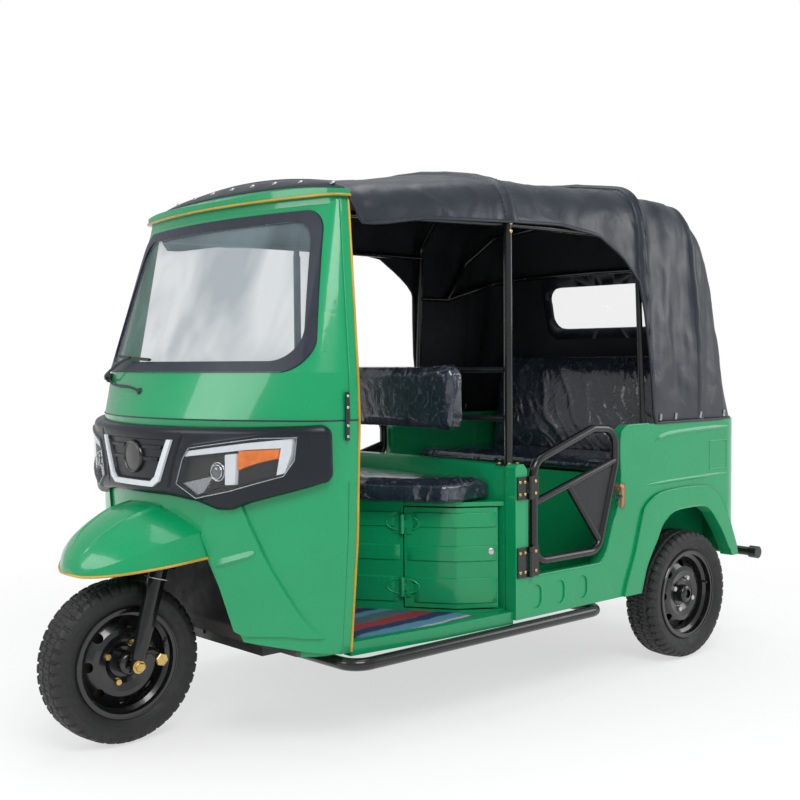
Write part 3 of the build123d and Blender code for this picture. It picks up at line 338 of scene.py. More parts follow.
def mat_band(lo, hi, color):
    """A band along the mat between two distances from the middle, with a soft woven edge."""
    wobble = mat_look.math("MULTIPLY", mat_look.math("SUBTRACT", mat_look.noise(9, 3), 0.5), 0.05)
    across = mat_look.math("ADD", mat_look.math("ABSOLUTE", mat_x, 0.0), wobble)
    up_ = mat_look.ramp(across, lo - 0.006, lo + 0.006, 0.0, 1.0)
    down = mat_look.ramp(across, hi - 0.006, hi + 0.006, 1.0, 0.0)
    mat_look.blend_color(mat_look.math("MULTIPLY", up_, down), color)


RED, NAVY, SKY, PALE = (0.36, 0.012, 0.03), (0.012, 0.02, 0.10), (0.10, 0.27, 0.42), (0.50, 0.56, 0.60)
for lo_, hi_, tone in ((0.365, 0.425, RED), (0.425, 0.475, NAVY), (0.475, 0.535, SKY), (0.535, 0.552, PALE),
                       (0.15, 0.20, RED), (0.20, 0.25, NAVY), (0.25, 0.29, SKY), (0.0, 0.03, PALE)):
    mat_band(lo_, hi_, tone)
fibre = mat_look.waves(55, "Y", distortion=1.5)
mat_look.blend_color(mat_look.ramp(fibre, 0.2, 0.9, 0.0, 0.35), (0.05, 0.07, 0.09))
mat_look.bump(fibre, 0.0005)
mat_look.bump(mat_look.noise(300, 4), 0.0003)
tyre_look = Look("tyre_rubber", (0.012, 0.0122, 0.013), rough=0.58)
tyre_look.layers("noise", 0.00018, 260, 5, vary=(0.3, 16), gloss=(0.1, 60))
tyre_look.dust((0.05, 0.047, 0.043), 0.3, -0.3, 0.5)
vinyl = Look("canopy_vinyl", (0.0120, 0.0165, 0.0265), rough=0.37, spec=0.5)
vinyl.vary(0.16, 5).gloss(0.08, 11)
vinyl.bump(vinyl.cells(800), 0.00008)
vinyl.bump(vinyl.noise(13, 3, distortion=0.6), 0.0018)
vinyl_inside = Look("canopy_lining", (0.006, 0.0075, 0.011), rough=0.7)
vinyl_inside.vary(0.2, 6)
weave = vinyl_inside.math("MULTIPLY", vinyl_inside.waves(160, "X"), vinyl_inside.waves(160, "Z"))
vinyl_inside.bump(weave, 0.0003)

bulk = Look("bulkhead_paint", (0.006, 0.006, 0.0065), rough=0.6, spec=0.3)
bulk.vary(0.3, 8).gloss(0.1, 25)
# black above, and the dusty brown of the splashed panel below
bulk.blend_color(bulk.ramp(bulk.axis("Z"), 0.345, 0.335, 0.0, 1.0), (0.055, 0.050, 0.047))
bulk.dust((0.11, 0.10, 0.09), 0.35, 0.2, 0.42)
bulk.bump(bulk.noise(120, 4), 0.0001)
for look, names in (
    (green, "lower_cowl upper_cowl roof_brow front_fender tub_side_left tub_side_right tail_panel partition seat_box "
            "seat_box_door bench_base"),
    (green_painted_shade, "floor_pan"),
    (black, "step_bars rear_bumper roof_frame door_frame_left door_frame_right door_hinges fork handlebar "
            "number_plate_bracket"),
    (frame_black, "chassis_frame rear_axle"),
    (bulk, "front_bulkhead"),
    (wheel_black, "front_rim rear_rim_left rear_rim_right"),
    (moulded, "door_panel_left door_panel_right dashboard"),
    (seal_rubber, "windscreen_seal"),
    (glass, "windscreen"),
    (tail_lens, "tail_lamps"),
    (mat_look, "floor_mat"),
    (iron, "engine_block"),
    (steel, "driveshaft"),
    (plastic, "headlamps light_bar front_mask"),
    (vinyl, "canopy driver_cushion driver_backrest passenger_cushion passenger_backrest"),
):
    for n in names.split():
        dress(n, look)


# ------------------------------------------------------------------ mesh helpers
SIDES = ((1, "left"), (-1, "right"))


def turns(n):
    """n equal steps round a circle."""
    return [2 * pi * i / n for i in range(n)]


def mirrored(points, side=-1):
    """The same points on the other side, or unchanged where side is 1."""
    return [Vector((side * p.x, p.y, p.z)) for p in points]


def run_of(line):
    """Length along a line, at each of its points."""
    return np.concatenate([[0], np.cumsum(np.hypot(*np.diff(line, axis=0).T))])


def shade_smooth(mesh, angle):
    """Smooth shading with sharp edges past the angle, or flat faces where it is 0."""
    if angle:
        mesh.polygons.foreach_set("use_smooth", [True] * len(mesh.polygons))
        mesh.set_sharp_from_angle(angle=radians(angle))


def solid(name, verts, faces, look, body, smooth):
    mesh = bpy.data.meshes.new(name)
    mesh.from_pydata([tuple(map(float, v)) for v in verts], [], [tuple(int(i) for i in f) for f in faces])
    mesh.validate()
    o = place(name, mesh)
    mesh.materials.append(look.m)
    shade_smooth(mesh, smooth)
    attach(o, body)
    return o


class Build:
    """Gathers the faces of one piece."""

    def __init__(self):
        self.v, self.f = [], []

    def add(self, verts, faces):
        base = len(self.v)
        self.v += [tuple(map(float, p)) for p in verts]
        self.f += [tuple(i + base for i in face) for face in faces]
        return self

    def grid(self, rows, loop_u=False, loop_v=False, flip=False):
        """rows of points; u runs along a row, v from row to row."""
        nv, nu = len(rows), len(rows[0])
        faces = []
        for j in range(nv if loop_v else nv - 1):
            for i in range(nu if loop_u else nu - 1):
                a, b = j * nu + i, j * nu + (i + 1) % nu
                c, d = ((j + 1) % nv) * nu + (i + 1) % nu, ((j + 1) % nv) * nu + i
                faces.append((a, d, c, b) if flip else (a, b, c, d))
        return self.add([p for row in rows for p in row], faces)

    def lathe(self, profile, centre, axis, seg=48):
        """profile is (distance along the axis, radius)."""
        axis = Vector(axis).normalized()
        side = axis.orthogonal().normalized()
        other = axis.cross(side)
        rows = []
        for along, r in profile:
            rows.append([Vector(centre) + axis * along + (side * cos(a) + other * sin(a)) * r for a in turns(seg)])
        return self.grid(rows, loop_u=True, flip=True)

    def tube(self, points, r, seg=12, loop=False, steps=8):
        """A round bar on a smooth line through the points."""
        line = smooth_line(points, steps, loop)
        frames = []
        t0 = (line[1] - line[0]).normalized()
        side = t0.orthogonal().normalized()
        n = len(line)
        for i, p in enumerate(line):
            if loop:
                t = (line[(i + 1) % n] - line[i - 1]).normalized()
            else:
                t = (line[min(i + 1, n - 1)] - line[max(i - 1, 0)]).normalized()
            side = (side - t * side.dot(t)).normalized()
            frames.append((p, side.copy(), t.cross(side)))
        rows = [[p + (s * cos(a) + o * sin(a)) * r for a in turns(seg)] for p, s, o in frames]
        base = len(self.v)
        self.grid(rows, loop_u=True, loop_v=loop)
        if not loop:
            self.f.append(tuple(base + i for i in reversed(range(seg))))
            last = base + (n - 1) * seg
            self.f.append(tuple(last + i for i in range(seg)))
        return self

    def bolt(self, at, axis, across=0.013, high=0.006, washer=0.009):
        """A chamfered hexagon head on a washer."""
        axis = Vector(axis).normalized()
        at = Vector(at)
        self.lathe([(0, 0.0), (0, washer), (0.0012, washer), (0.0016, washer * 0.93), (0.0016, 0)], at, axis, 20)
        side = axis.orthogonal().normalized()
        other = axis.cross(side)
        r = across / 2 / cos(pi / 6)
        rows = []
        for along, k in ((0.0014, 0.985), (0.0014 + high * 0.8, 1.0), (high + 0.0014, 0.86), (high + 0.0014, 0.0)):
            rows.append([at + axis * along + (side * cos(a) + other * sin(a)) * r * k for a in turns(6)])
        return self.grid(rows, loop_u=True, flip=True)

    def dome(self, at, axis, r, high, seg=16):
        """A low round head, such as a snap or rivet."""
        prof = [(0, r), (high * 0.35, r * 0.97), (high * 0.7, r * 0.75), (high * 0.93, r * 0.4), (high, 0.0)]
        return self.lathe(prof, at, axis, seg)

    def make(self, name, look, body, smooth, slot):
        o = solid(name, self.v, self.f, look, body, smooth)
        bm = bmesh.new()
        bm.from_mesh(o.data)
        bmesh.ops.remove_doubles(bm, verts=bm.verts, dist=1e-6)
        bmesh.ops.dissolve_degenerate(bm, dist=1e-6, edges=bm.edges)
        bmesh.ops.recalc_face_normals(bm, faces=bm.faces)
        bm.to_mesh(o.data)
        bm.free()
        shade_smooth(o.data, smooth)
        return o


def smooth_line(points, steps, loop=False):
    """Catmull-Rom points through the given ones."""
    pts = [Vector(p) for p in points]
    if steps <= 1 or len(pts) < 3:
        return pts
    n = len(pts)
    out = []
    for i in range(n if loop else n - 1):
        p1, p2 = pts[i], pts[(i + 1) % n]
        p0 = pts[i - 1] if loop or i else p1 * 2 - p2
        p3 = pts[(i + 2) % n] if loop or i + 2 < n else p2 * 2 - p1
        for k in range(steps):
            t = k / steps
            out.append(0.5 * (2 * p1 + (p2 - p0) * t + (2 * p0 - 5 * p1 + 4 * p2 - p3) * t * t
                              + (3 * p1 - p0 - 3 * p2 + p3) * t ** 3))
    if not loop:
        out.append(pts[-1])
    return out


# ------------------------------------------------------------------ tyres
WHEEL_R = 0.247
TREAD_FLOOR_R = 0.2225  # grooves are cut only outside this radius
SHOULDER_BLOCKS = 44


def tyre(name, x, y, body, replaced, turn=0.0):
    """A road tyre with shoulder blocks, zigzag grooves and lettering-free side walls."""
    n_round, n_across = 450, 72
    theta = np.linspace(0, 2 * pi, n_round, endpoint=False)[:, None]
    s = np.linspace(0, 1, n_across)[None, :]
    # the section: bead, side wall, shoulder, crown and back, as radius and width
    keys_s = np.array([0, 0.05, 0.13, 0.21, 0.275, 0.31, 0.36, 0.5, 0.64, 0.69, 0.725, 0.79, 0.87, 0.95, 1])
    half_w = np.array([0.047, 0.053, 0.0625, 0.0672, 0.0650, 0.0590, 0.047])
    half_r = np.array([0.1595, 0.172, 0.190, 0.209, 0.228, 0.2370, 0.2430])
    keys_w = np.concatenate([-half_w, [0], half_w[::-1]])
    keys_r = np.concatenate([half_r, [0.2462], half_r[::-1]])
    w = np.interp(s, keys_s, keys_w) + 0 * theta
    r = np.interp(s, keys_s, keys_r) + 0 * theta
    phase = theta * SHOULDER_BLOCKS / (2 * pi)
    # shoulder lugs: wedge-shaped slots from the side wall to the outer grooves
    edge = np.abs(w)
    slant = phase + np.sign(w) * 0.25 + 6.0 * (edge - 0.045)
    slot_ = np.abs((slant % 1.0) - 0.5)
    tread = r > TREAD_FLOOR_R
    lug_cut = (slot_ < 0.13) & (edge > 0.040) & tread
    zig = 0.0045 * np.abs((phase % 1.0) * 2 - 1) * 2 - 0.0045
    groove_a = np.abs(edge - 0.0355 - 0.5 * zig) < 0.0028
    groove_b = np.abs(w - zig) < 0.0030
    sipe = (np.abs(((phase * 2 + 10 * w) % 1.0) - 0.5) < 0.075) & (edge < 0.034) & (edge > 0.006)
    depth = np.where(tread & (groove_a | groove_b | lug_cut), 0.0058, 0.0) + np.where(sipe & tread, 0.0030, 0.0)
    depth = np.minimum(depth, 0.0062)
    r = r - depth
    # rings on the side wall
    ring = 0.0009 * ((np.abs(r - 0.1795) < 0.0016) | (np.abs(r - 0.2135) < 0.0013))
    w = w + np.sign(w) * ring
    verts = np.stack([x + w, y + r * np.sin(theta + turn), WHEEL_R + r * np.cos(theta + turn)], axis=-1).reshape(-1, 3)
    i = np.arange(n_round)[:, None]
    j = np.arange(n_across - 1)[None, :]
    a = i * n_across + j
    b = ((i + 1) % n_round) * n_across + j
    quads = np.stack([a, b, b + 1, a + 1], axis=-1).reshape(-1, 4)
    # the bead closes the section
    k = np.arange(n_round)
    k2 = (k + 1) % n_round
    close = np.stack([k * n_across + n_across - 1, k2 * n_across + n_across - 1, k2 * n_across, k * n_across], axis=-1)
    faces = np.concatenate([quads, close])
    o = solid(name, verts, faces, tyre_look, body, 35)
    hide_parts(replaced)


FRONT_Y, REAR_Y, REAR_X = -1.178, 0.897, 0.565  # the wheels' centres
tyre("front_tyre_tread", 0.0, FRONT_Y, "front_wheel", "front_tyre")
tyre("rear_tyre_left_tread", REAR_X, REAR_Y, "rear_wheel_left", "rear_tyre_left", 0.02)
tyre("rear_tyre_right_tread", -REAR_X, REAR_Y, "rear_wheel_right", "rear_tyre_right", 0.03)

# ------------------------------------------------------------------ canopy
TUB_TOP = 0.917
FRONT_END, BACK_END = -0.702, 1.262  # where the sheet's rows begin and end
# y, half width at the foot and at the eave, the eave's height, the knuckle's x and z, the crown's height (mm)
CANOPY_ROWS = np.array([
    (-702, 565, 548, 1610, 430, 1692, 1728), (-560, 609, 584, 1614, 455, 1722, 1762),
    (-62, 642, 606, 1620, 480, 1768, 1822), (620, 642, 608, 1640, 480, 1790, 1830),
    (900, 642, 608, 1610, 480, 1768, 1815),
    (1000, 642, 606, 1550, 470, 1722, 1785), (1089, 639, 598, 1430, 440, 1630, 1700),
    (1150, 628, 572, 1270, 400, 1480, 1560), (1205, 603, 535, 1090, 360, 1240, 1310),
    (1262, 540, 500, 930, 300, 945, 955),
]) / 1000
SIDE_FOOT = 0.9155  # where the section's sides end
# the sheet's lower edge: y and z
EDGE_YZ = np.array([(-703, 1640), (-668, 1562), (-616, 1562), (-434, 1591), (-85, 1605), (173, 1614), (389, 1591),
                    (500, 1528), (560, 1482), (600, 1440), (618, 1300), (632, 1120), (645, 1000), (655, 917),
                    (1300, 917)]) / 1000


def pchip(x, y, at):
    """Monotone cubic through the points."""
    h = np.diff(x)
    d = np.diff(y) / h
    m = np.zeros(len(x))
    for i in range(1, len(x) - 1):
        if d[i - 1] * d[i] > 0:
            a, b = 2 * h[i] + h[i - 1], h[i] + 2 * h[i - 1]
            m[i] = (a + b) / (a / d[i - 1] + b / d[i])
    m[0], m[-1] = d[0], d[-1]
    i = np.clip(np.searchsorted(x, at) - 1, 0, len(x) - 2)
    t = (at - x[i]) / h[i]
    return (y[i] * (2 * t**3 - 3 * t**2 + 1) + m[i] * h[i] * (t**3 - 2 * t**2 + t)
            + y[i + 1] * (3 * t**2 - 2 * t**3) + m[i + 1] * h[i] * (t**3 - t**2))


def canopy_value(column, y):
    """A column of the canopy's table at y."""
    return float(pchip(CANOPY_ROWS[:, 0], CANOPY_ROWS[:, column], np.array([y]))[0])


def canopy_half(y):
    """Half a section of the canopy at y, as points from the crown down to the tub."""
    foot, half, eave, kx, kz, crown = (canopy_value(c, y) for c in range(1, 7))
    bx, bz = 0.5 * (half + kx) + 0.16 * (half - kx), 0.5 * (eave + kz) + 0.2 * (kz - eave)
    pts = []
    for t in np.linspace(0, 1, 40, endpoint=False):
        x = kx * t
        pts.append((x, crown - (crown - kz) * (x / kx) ** 2))
    for t in np.linspace(0, 1, 30, endpoint=False):
        # a bend from the crown's line into the side
        p0, p1, p2 = (kx, kz), (2 * bx - 0.5 * (kx + half), 2 * bz - 0.5 * (kz + eave)), (half, eave)
        pts.append(tuple((1 - t) ** 2 * a + 2 * t * (1 - t) * b + t * t * c for a, b, c in zip(p0, p1, p2)))
    for t in np.linspace(0, 1, 30):
        pts.append((half + (foot - half) * t, eave + (SIDE_FOOT - eave) * t))
    return np.array(pts)


def edge_height(y):
    """Height of the sheet's lower edge at y."""
    return float(np.interp(y, EDGE_YZ[:, 0], EDGE_YZ[:, 1]))


def half_row(y, count):
    """Evenly spaced points of the half section from the crown to the sheet's lower edge."""
    p = canopy_half(y)
    low = edge_height(y)
    cut = np.nonzero(p[:, 1] < low)[0]
    if len(cut):
        k = cut[0]
        f = (p[k - 1, 1] - low) / max(1e-9, p[k - 1, 1] - p[k, 1])
        p = np.vstack([p[:k], p[k - 1] + (p[k] - p[k - 1]) * f])
    s = run_of(p)
    at = np.linspace(0, s[-1], count)
    return np.stack([np.interp(at, s, p[:, 0]), np.interp(at, s, p[:, 1])], axis=1)


crown_y = np.linspace(FRONT_END, BACK_END, 1500)
crown_z = pchip(CANOPY_ROWS[:, 0], CANOPY_ROWS[:, 6], crown_y)
along = run_of(np.stack([crown_y, crown_z], axis=1))
stations = list(np.interp(np.linspace(0, along[-1], 190), along, crown_y))
# more rows where the side's edge turns down
stations = sorted(stations + list(np.linspace(0.588, 0.662, 14)) + list(np.linspace(-0.698, -0.662, 7)))
HALF_N = 78
rows_ = []
for y in stations:
    h = half_row(y, HALF_N)
    rows_.append([(-x, y, z) for x, z in h[::-1]] + [(x, y, z) for x, z in h[1:]])
# two more rows take the back down to the tub
last = rows_[-1]
rows_.append([(x, 1.2635, 0.5 * (z + TUB_TOP)) for x, y, z in last])
rows_.append([(x, 1.2640, TUB_TOP) for x, y, z in last])
grid = np.array(rows_)
nv, nu = grid.shape[:2]

# outward direction of the sheet at each point
du = np.gradient(grid, axis=1)
dv = np.gradient(grid, axis=0)
normal = np.cross(du, dv)
normal /= np.maximum(1e-9, np.linalg.norm(normal, axis=2, keepdims=True))
if normal[60, nu // 2, 2] < 0:
    normal = -normal


SPANS = ((-0.70, -0.062, 0.021), (-0.062, 0.62, 0.021), (0.64, 0.93, 0.016), (0.95, 1.13, 0.011))  # from y, to y, sag
BOWS = ((-0.062, 0.005, 0.020), (0.622, 0.013, 0.022), (0.950, 0.006, 0.022))  # y, the ridge's height and half width
TAIL_Y = 0.63  # behind it the sheet's sides reach down to the tub


def folds(x, y, z):
    """How far the cloth stands from the plain form: sag between the bows, tucks at them, small creases."""
    side = min(1.0, max(0.0, (abs(x) - 0.40) / 0.18))
    top = 1 - side
    d = 0.0
    # hangs between the bows
    for a, b, deep in SPANS:
        if a < y < b:
            t = (y - a) / (b - a)
            d -= deep * sin(pi * t) ** 0.8 * (0.35 + 0.65 * top) * (1.0 if z > 1.45 else max(0.0, (z - 1.1) / 0.35))
    # ridges over the bows
    d -= 0.007 * min(1.0, max(0.0, (z - 1.2) / 0.3))
    for at, high, wide in BOWS:
        d += high * np.exp(-((y - at) / wide) ** 2)
    # long creases that fan out from the bows down the tail's sides
    if y > TAIL_Y:
        wave = noise.noise(Vector((y * 9 + 1.4 * (1.7 - z), 3.1 if x > 0 else 7.7, z * 1.3)))
        d += side * 0.012 * wave * min(1.0, (y - TAIL_Y) / 0.06)
        d += side * 0.0048 * noise.noise(Vector((y * 24, 1.7 + (5 if x < 0 else 0), z * 2.6)))
    else:
        d += 0.006 * noise.noise(Vector((y * 5.5, x * 2.0, 11.0))) * (0.5 + side)
        # scallops along the free edge of the side
        near = max(0.0, 1 - (z - edge_height(y)) / 0.16)
        d += near * 0.006 * noise.noise(Vector((y * 11, 4.0 if x > 0 else 9.0, 0.0)))
    d += 0.0028 * noise.noise(Vector((x * 13, y * 13, z * 13)))
    ridge = noise.noise(Vector((x * 8 + 3, y * 8, z * 8)))
    d += 0.0025 * (1 - min(1.0, abs(ridge) * 5)) * (0.4 + 0.6 * side)
    return d


shift = np.zeros((nv, nu))
for j in range(nv):
    for i in range(nu):
        x, y, z = grid[j, i]
        # the sheet keeps to its plain form at the front edge and at the tub
        hold = min(1.0, max(0.0, (y - FRONT_END) / 0.05)) * min(1.0, max(0.0, (z - 0.93) / 0.12))
        shift[j, i] = folds(x, y, z) * hold
cloth_grid = grid + normal * shift[:, :, None]

WINDOW_Z = 1.3825
BACK_WINDOW = (0.0, WINDOW_Z, 0.32, 0.1075, 0.055)  # middle x and z, half width and height, corner radius


def window_reach(x, z, grow=0.0):
    """Signed distance outside the rounded rectangle of the back window."""
    cx, cz, hx, hz, r = BACK_WINDOW
    qx, qz = abs(x - cx) - (hx + grow - r), abs(z - cz) - (hz + grow - r)
    return sqrt(max(qx, 0) ** 2 + max(qz, 0) ** 2) + min(max(qx, qz), 0) - r


canopy = Build()
canopy.v = [tuple(p) for row in cloth_grid for p in row]
for j in range(nv - 1):
    for i in range(nu - 1):
        a, b, c, d = j * nu + i, j * nu + i + 1, (j + 1) * nu + i + 1, (j + 1) * nu + i
        mid = (cloth_grid[j, i] + cloth_grid[j + 1, i + 1]) / 2
        if mid[1] > 1.0 and window_reach(mid[0], mid[2]) < 0.004:
            continue
        canopy.f.append((a, b, c, d))
canopy_piece = solid("canopy_sheet", canopy.v, canopy.f, vinyl, "body", 60)
bm = bmesh.new()
bm.from_mesh(canopy_piece.data)
bmesh.ops.recalc_face_normals(bm, faces=bm.faces)
top_face = max(bm.faces, key=lambda f: f.calc_center_median().z)
if top_face.normal.z < 0:
    bmesh.ops.reverse_faces(bm, faces=bm.faces)
bmesh.ops.delete(bm, geom=[v for v in bm.verts if not v.link_faces], context="VERTS")
bm.to_mesh(canopy_piece.data)
bm.free()
canopy_piece.data.materials.append(vinyl_inside.m)
thick = canopy_piece.modifiers.new("cloth", "SOLIDIFY")
thick.thickness = 0.0026
thick.offset = -1
thick.material_offset = 1
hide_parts("canopy")


def on_back(x, z):
    """The point of the canopy's back at that place, with its outward direction."""
    j0 = int(nv * 0.7)
    d = (cloth_grid[j0:, :, 0] - x) ** 2 + (cloth_grid[j0:, :, 2] - z) ** 2 + 100 * (cloth_grid[j0:, :, 1] < 1.0)
    j, i = np.unravel_index(np.argmin(d), d.shape)
    j += j0
    return Vector(cloth_grid[j, i]), Vector(normal[j, i])


def back_point(x, z, out=0.0):
    """A point that far off the back's face."""
    p, n = on_back(x, z)
    return Vector((x, p.y, z)) + n.normalized() * out


def window_loop(grow):
    """The back window's outline, grown outwards."""
    cx, cz = BACK_WINDOW[:2]
    pts = []
    for a in turns(120):
        u, v = cos(a), sin(a)
        # walk out along the ray until the rounded rectangle's edge
        lo, hi = 0.0, 0.6
        for _ in range(24):
            m = (lo + hi) / 2
            inside = window_reach(u * m, cz + v * m, grow) < 0
            lo, hi = (m, hi) if inside else (lo, m)
        pts.append((cx + u * lo, cz + v * lo))
    return pts


rim = Build()
for section in (((-0.016, 0.001), (-0.014, 0.0035), (0.012, 0.0045), (0.030, 0.0035), (0.033, -0.001)),
                ((-0.016, -0.001), (-0.014, -0.0055), (0.030, -0.0055), (0.033, -0.001))):
    rim.grid([[back_point(x, z, out) for x, z in window_loop(grow)] for grow, out in section], loop_u=True)
window_rim = rim.make("canopy_window_border", vinyl, "body", 60, "canopy_vinyl")
pane_look = Look("canopy_window_film", (0.75, 0.8, 0.82), rough=0.08, alpha=0.16)
pane_look.layers("noise", 0.002, 7, 2, gloss=(0.04, 9))
pane = Build()
pane.grid([[back_point(x * k, WINDOW_Z + (z - WINDOW_Z) * k) for x, z in window_loop(-0.010)]
           for k in (1, 0.8, 0.6, 0.4, 0.2, 0.02)], loop_u=True)
pane.make("canopy_window_pane", pane_look, "body", 60, "windscreen_glass")

# hem, seams and binding
thread = Look("thread", (0.05, 0.055, 0.07), rough=0.7)
thread.layers("noise", 0.0001, 900, 2, vary=(0.2, 60))
hem = Build()
for sgn in (0, -1):
    edge = [Vector(p) for p in cloth_grid[:, sgn]]
    edge = [p for k, p in enumerate(edge) if k % 3 == 0 or k == len(edge) - 1]
    hem.tube(edge, 0.0055, 8, steps=1)
for row, r in ((cloth_grid[-1, ::4], 0.0055), (cloth_grid[0, ::4], 0.005)):
    hem.tube([Vector(p) for p in row], r, 8, steps=1)
hem.make("canopy_hem", vinyl, "body", 60, "canopy_vinyl")


def off_sheet(j, columns, lift):
    """Points of one of the sheet's rows, that far off its face."""
    return [Vector(cloth_grid[j, i]) + Vector(normal[j, i]) * lift for i in columns]


def band(name, first, last, out):
    """A strip of binding laid on the sheet between two of its rows, with folded edges."""
    b = Build()
    b.grid([off_sheet(j, range(nu), out if first < j < last else 0.0002) for j in range(first, last + 1)])
    return b.make(name, vinyl, "body", 60, "canopy_vinyl")


def station(y):
    """The sheet's row nearest to y."""
    return min(range(len(stations)), key=lambda k: abs(stations[k] - y))


for k, (ya, yb) in enumerate(((-0.085, -0.04), (0.600, 0.655), (0.93, 0.975))):
    j0 = station(ya)
    band(f"canopy_binding_{k}", j0, max(station(yb), j0 + 3), 0.0035)

stitches = Build()


def stitch_row(points):
    """Raised stitches along a line on the cloth."""
    gap, long, r = 0.016, 0.009, 0.0008
    acc = 0.0
    for a, b in zip(points[:-1], points[1:]):
        seg = (b - a).length
        if seg < 1e-9:
            continue
        d = (b - a) / seg
        t = gap - acc
        while t < seg:
            p = a + d * t
            stitches.tube([p - d * long / 2, p + d * long / 2], r, 5, steps=1)
            t += gap
        acc = (acc + seg) % gap


for j in (station(-0.085), station(-0.04), station(0.600), station(0.655)):
    stitch_row(off_sheet(j, range(2, nu - 2), 0.0040))
stitches.make("canopy_stitching", thread, "body", 0, "canopy_vinyl")


def brow_top(x, y):
    """Height of the brow's top, in millimetres."""
    t = (y + 850) / 147
    edge, crown = 1650 + 2 * t, 1654 + 62 * t
    return crown - (crown - edge) * (x / 570) ** 2


# the front edge is turned down over the brow and held by snaps
FRONT_MM = 1000 * FRONT_END
front_row = grid[0] * 1000
turned = []
for k in range(97):
    u = -1 + 2 * k / 96
    i = int(round((nu - 1) * (0.5 + 0.5 * u * 0.985)))
    x1, _, z1 = front_row[i]
    z1 += 1.5
    ahead = 68 * (1 - abs(u) ** 2.6) + 10
    x0 = x1 * 0.985
    z0 = max(brow_top(x0, FRONT_MM - ahead), 1650) + 1.5
    if abs(x0) > 520:
        z0 = min(z0, z1 - 6)
    row = []
    for t in np.linspace(0, 1, 9):
        x, z = x1 + (x0 - x1) * t, z1 + (z0 - z1) * t
        wave = 1.6 * noise.noise(Vector((x / 60, t * 2, 0)))
        row.append(Vector((x, FRONT_MM - ahead * t, z + 7 * sin(pi * t) + wave * sin(pi * min(1, t * 1.4)))) / 1000)
    turned.append(row)
front_band = Build()
front_band.grid(turned)
front_band_piece = front_band.make("canopy_front_band", vinyl, "body", 60, "canopy_vinyl")
band_thick = front_band_piece.modifiers.new("cloth", "SOLIDIFY")
band_thick.thickness = 0.0024
band_thick.offset = 0
lip_edge = Build()
lip_edge.tube([row[-1] for row in turned], 0.0032, 8, steps=1)
lip_edge.make("canopy_front_hem", vinyl, "body", 60, "canopy_vinyl")
snaps = Build()
for x in (-480, -355, -230, -110, 0, 110, 230, 355, 480):
    row = min(turned, key=lambda r: abs(r[5].x - x / 1000))
    face_out = (row[2] - row[7]).cross(Vector((1, 0, 0)))
    if face_out.z < 0:
        face_out = -face_out
    snaps.dome(row[5] + face_out.normalized() * 0.001, face_out, 0.009, 0.0045)
for side in (1, -1):
    for y in (0.690, 0.785, 0.946, 1.115):
        x = canopy_value(1, y)
        snaps.tube([(side * (x + 0.0012), y - 0.003, 0.925), (side * (x + 0.0012), y, 0.936),
                    (side * (x + 0.0002), y + 0.003, 0.949)], 0.0052, 8)
for x in (-0.40, -0.2, 0.0, 0.2, 0.40):
    snaps.dome((x, 1.2645, 0.936), (0, 1, 0.1), 0.008, 0.0045)
snaps.make("canopy_snaps", steel, "body", 40, "steel")


# ------------------------------------------------------------------ cushions
film = Look("seat_film", (0.0165, 0.0225, 0.037), rough=0.24, coat=0.8, coat_rough=0.06, spec=0.5)
film.vary(0.3, 14)
film.bump(film.noise(14, 3, distortion=1.2), 0.0022, coat=True)
film.bump(film.noise(60, 3, distortion=0.8), 0.0003, coat=True)
# pale patches painted on the film: painted sheen of its crumpled surface
painted_sheen = film.math("MULTIPLY", film.ramp(film.noise(21, 6, distortion=2.2), 0.56, 0.70), 0.5)
film.blend_color(painted_sheen, (0.15, 0.175, 0.22))


SLIM = 0.007  # how far a pad starts inside its solid's box, on each side


